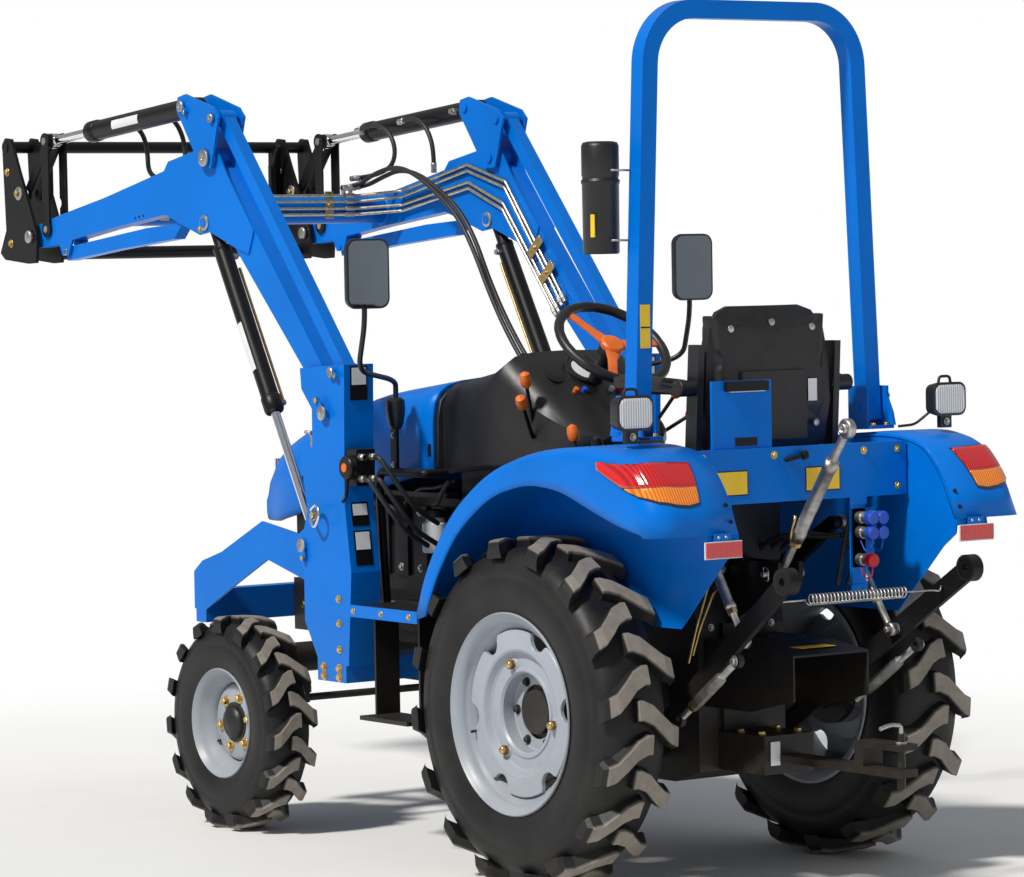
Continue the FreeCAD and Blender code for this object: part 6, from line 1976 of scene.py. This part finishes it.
def background_white(tree, shader_output, target):
    """Plain white wherever the camera or a clear surface looks past the object."""
    path = tree.nodes.new("ShaderNodeLightPath")
    either = None
    for name in ("Is Camera Ray", "Is Transmission Ray"):
        if either is None:
            either = path.outputs[name]
            continue
        node = tree.nodes.new("ShaderNodeMath")
        node.operation = "MAXIMUM"
        tree.links.new(either, node.inputs[0])
        tree.links.new(path.outputs[name], node.inputs[1])
        either = node.outputs["Value"]
    mix = tree.nodes.new("ShaderNodeMixShader")
    white = tree.nodes.new("ShaderNodeBackground")
    white.inputs["Color"].default_value = (1, 1, 1, 1)
    white.inputs["Strength"].default_value = 1.0
    tree.links.new(either, mix.inputs["Fac"])
    tree.links.new(shader_output, mix.inputs[1])
    tree.links.new(white.outputs["Background"], mix.inputs[2])
    tree.links.new(mix.outputs["Shader"], target)


def make_floor():
    mesh = bpy.data.meshes.new("studio_floor")
    reach = 40
    mesh.from_pydata([(-reach, -reach, 0), (reach, -reach, 0), (reach, reach, 0), (-reach, reach, 0)],
                     [], [(0, 1, 2, 3)])
    floor = bpy.data.objects.new("studio_floor", mesh)
    bpy.context.scene.collection.objects.link(floor)
    material, tree, shader = new_material("pale_floor")
    tree.links.new(ramp(tree, noise(tree, 0.7), [(0.3, (0.74, 0.74, 0.73)), (0.7, (0.80, 0.80, 0.79))]),
                   shader.inputs["Base Color"])
    shader.inputs["Roughness"].default_value = 0.9
    shader.inputs["Specular IOR Level"].default_value = 0.1
    geometry = tree.nodes.new("ShaderNodeNewGeometry")
    distance = tree.nodes.new("ShaderNodeVectorMath")
    distance.operation = "LENGTH"
    tree.links.new(geometry.outputs["Position"], distance.inputs[0])
    far = remap(tree, distance.outputs["Value"], 1.8, 4.6, 0, 1)
    plain = tree.nodes.new("ShaderNodeEmission")
    mix = tree.nodes.new("ShaderNodeMixShader")
    plain.inputs["Color"].default_value = (1, 1, 1, 1)
    tree.links.new(far, mix.inputs["Fac"])
    tree.links.new(shader.outputs["BSDF"], mix.inputs[1])
    tree.links.new(plain.outputs["Emission"], mix.inputs[2])
    tree.links.new(mix.outputs["Shader"], tree.nodes["Material Output"].inputs["Surface"])
    mesh.materials.append(material)


def make_lights():
    world = bpy.data.worlds.new("studio")
    bpy.context.scene.world = world
    world.use_nodes = True
    tree = world.node_tree
    soft = tree.nodes["Background"]
    soft.inputs["Color"].default_value = (0.93, 0.96, 1.0, 1)
    soft.inputs["Strength"].default_value = 0.33
    background_white(tree, soft.outputs["Background"], tree.nodes["World Output"].inputs["Surface"])
    sun = bpy.data.lights.new("key", "SUN")
    sun.energy = 3.5
    sun.angle = math.radians(6)
    sun.color = (1.0, 0.97, 0.92)
    key = bpy.data.objects.new("key", sun)
    key.rotation_euler = Vector(SUN_FROM).to_track_quat("Z", "Y").to_euler()
    bpy.context.scene.collection.objects.link(key)


def make_camera():
    """The camera stands behind the tractor's left rear wheel, about a head above the ground."""
    heading, down, roll = math.radians(-35.390), math.radians(2.574), math.radians(-0.995)
    ahead = Vector((math.cos(down) * math.cos(heading), math.cos(down) * math.sin(heading), -math.sin(down)))
    right = Vector((math.sin(heading), -math.cos(heading), 0))
    up = right.cross(ahead)
    tipped_right = right * math.cos(roll) + up * math.sin(roll)
    tipped_up = up * math.cos(roll) - right * math.sin(roll)
    lens_data = bpy.data.cameras.new("camera")
    lens_data.sensor_width = 36
    lens_data.lens = 145.7
    lens_data.clip_end = 200
    camera = bpy.data.objects.new("camera", lens_data)
    camera.matrix_world = Matrix.Translation(place(-9.0425, 7.0143, 1.7144)) @ Matrix(
        [[tipped_right[row], tipped_up[row], -ahead[row]] for row in range(3)]).to_4x4()
    bpy.context.scene.collection.objects.link(camera)
    bpy.context.scene.camera = camera


SUN_FROM = (-0.10, 0.75, 0.85)
make_floor()
make_lights()
make_camera()
bpy.context.scene.view_settings.view_transform = "Standard"
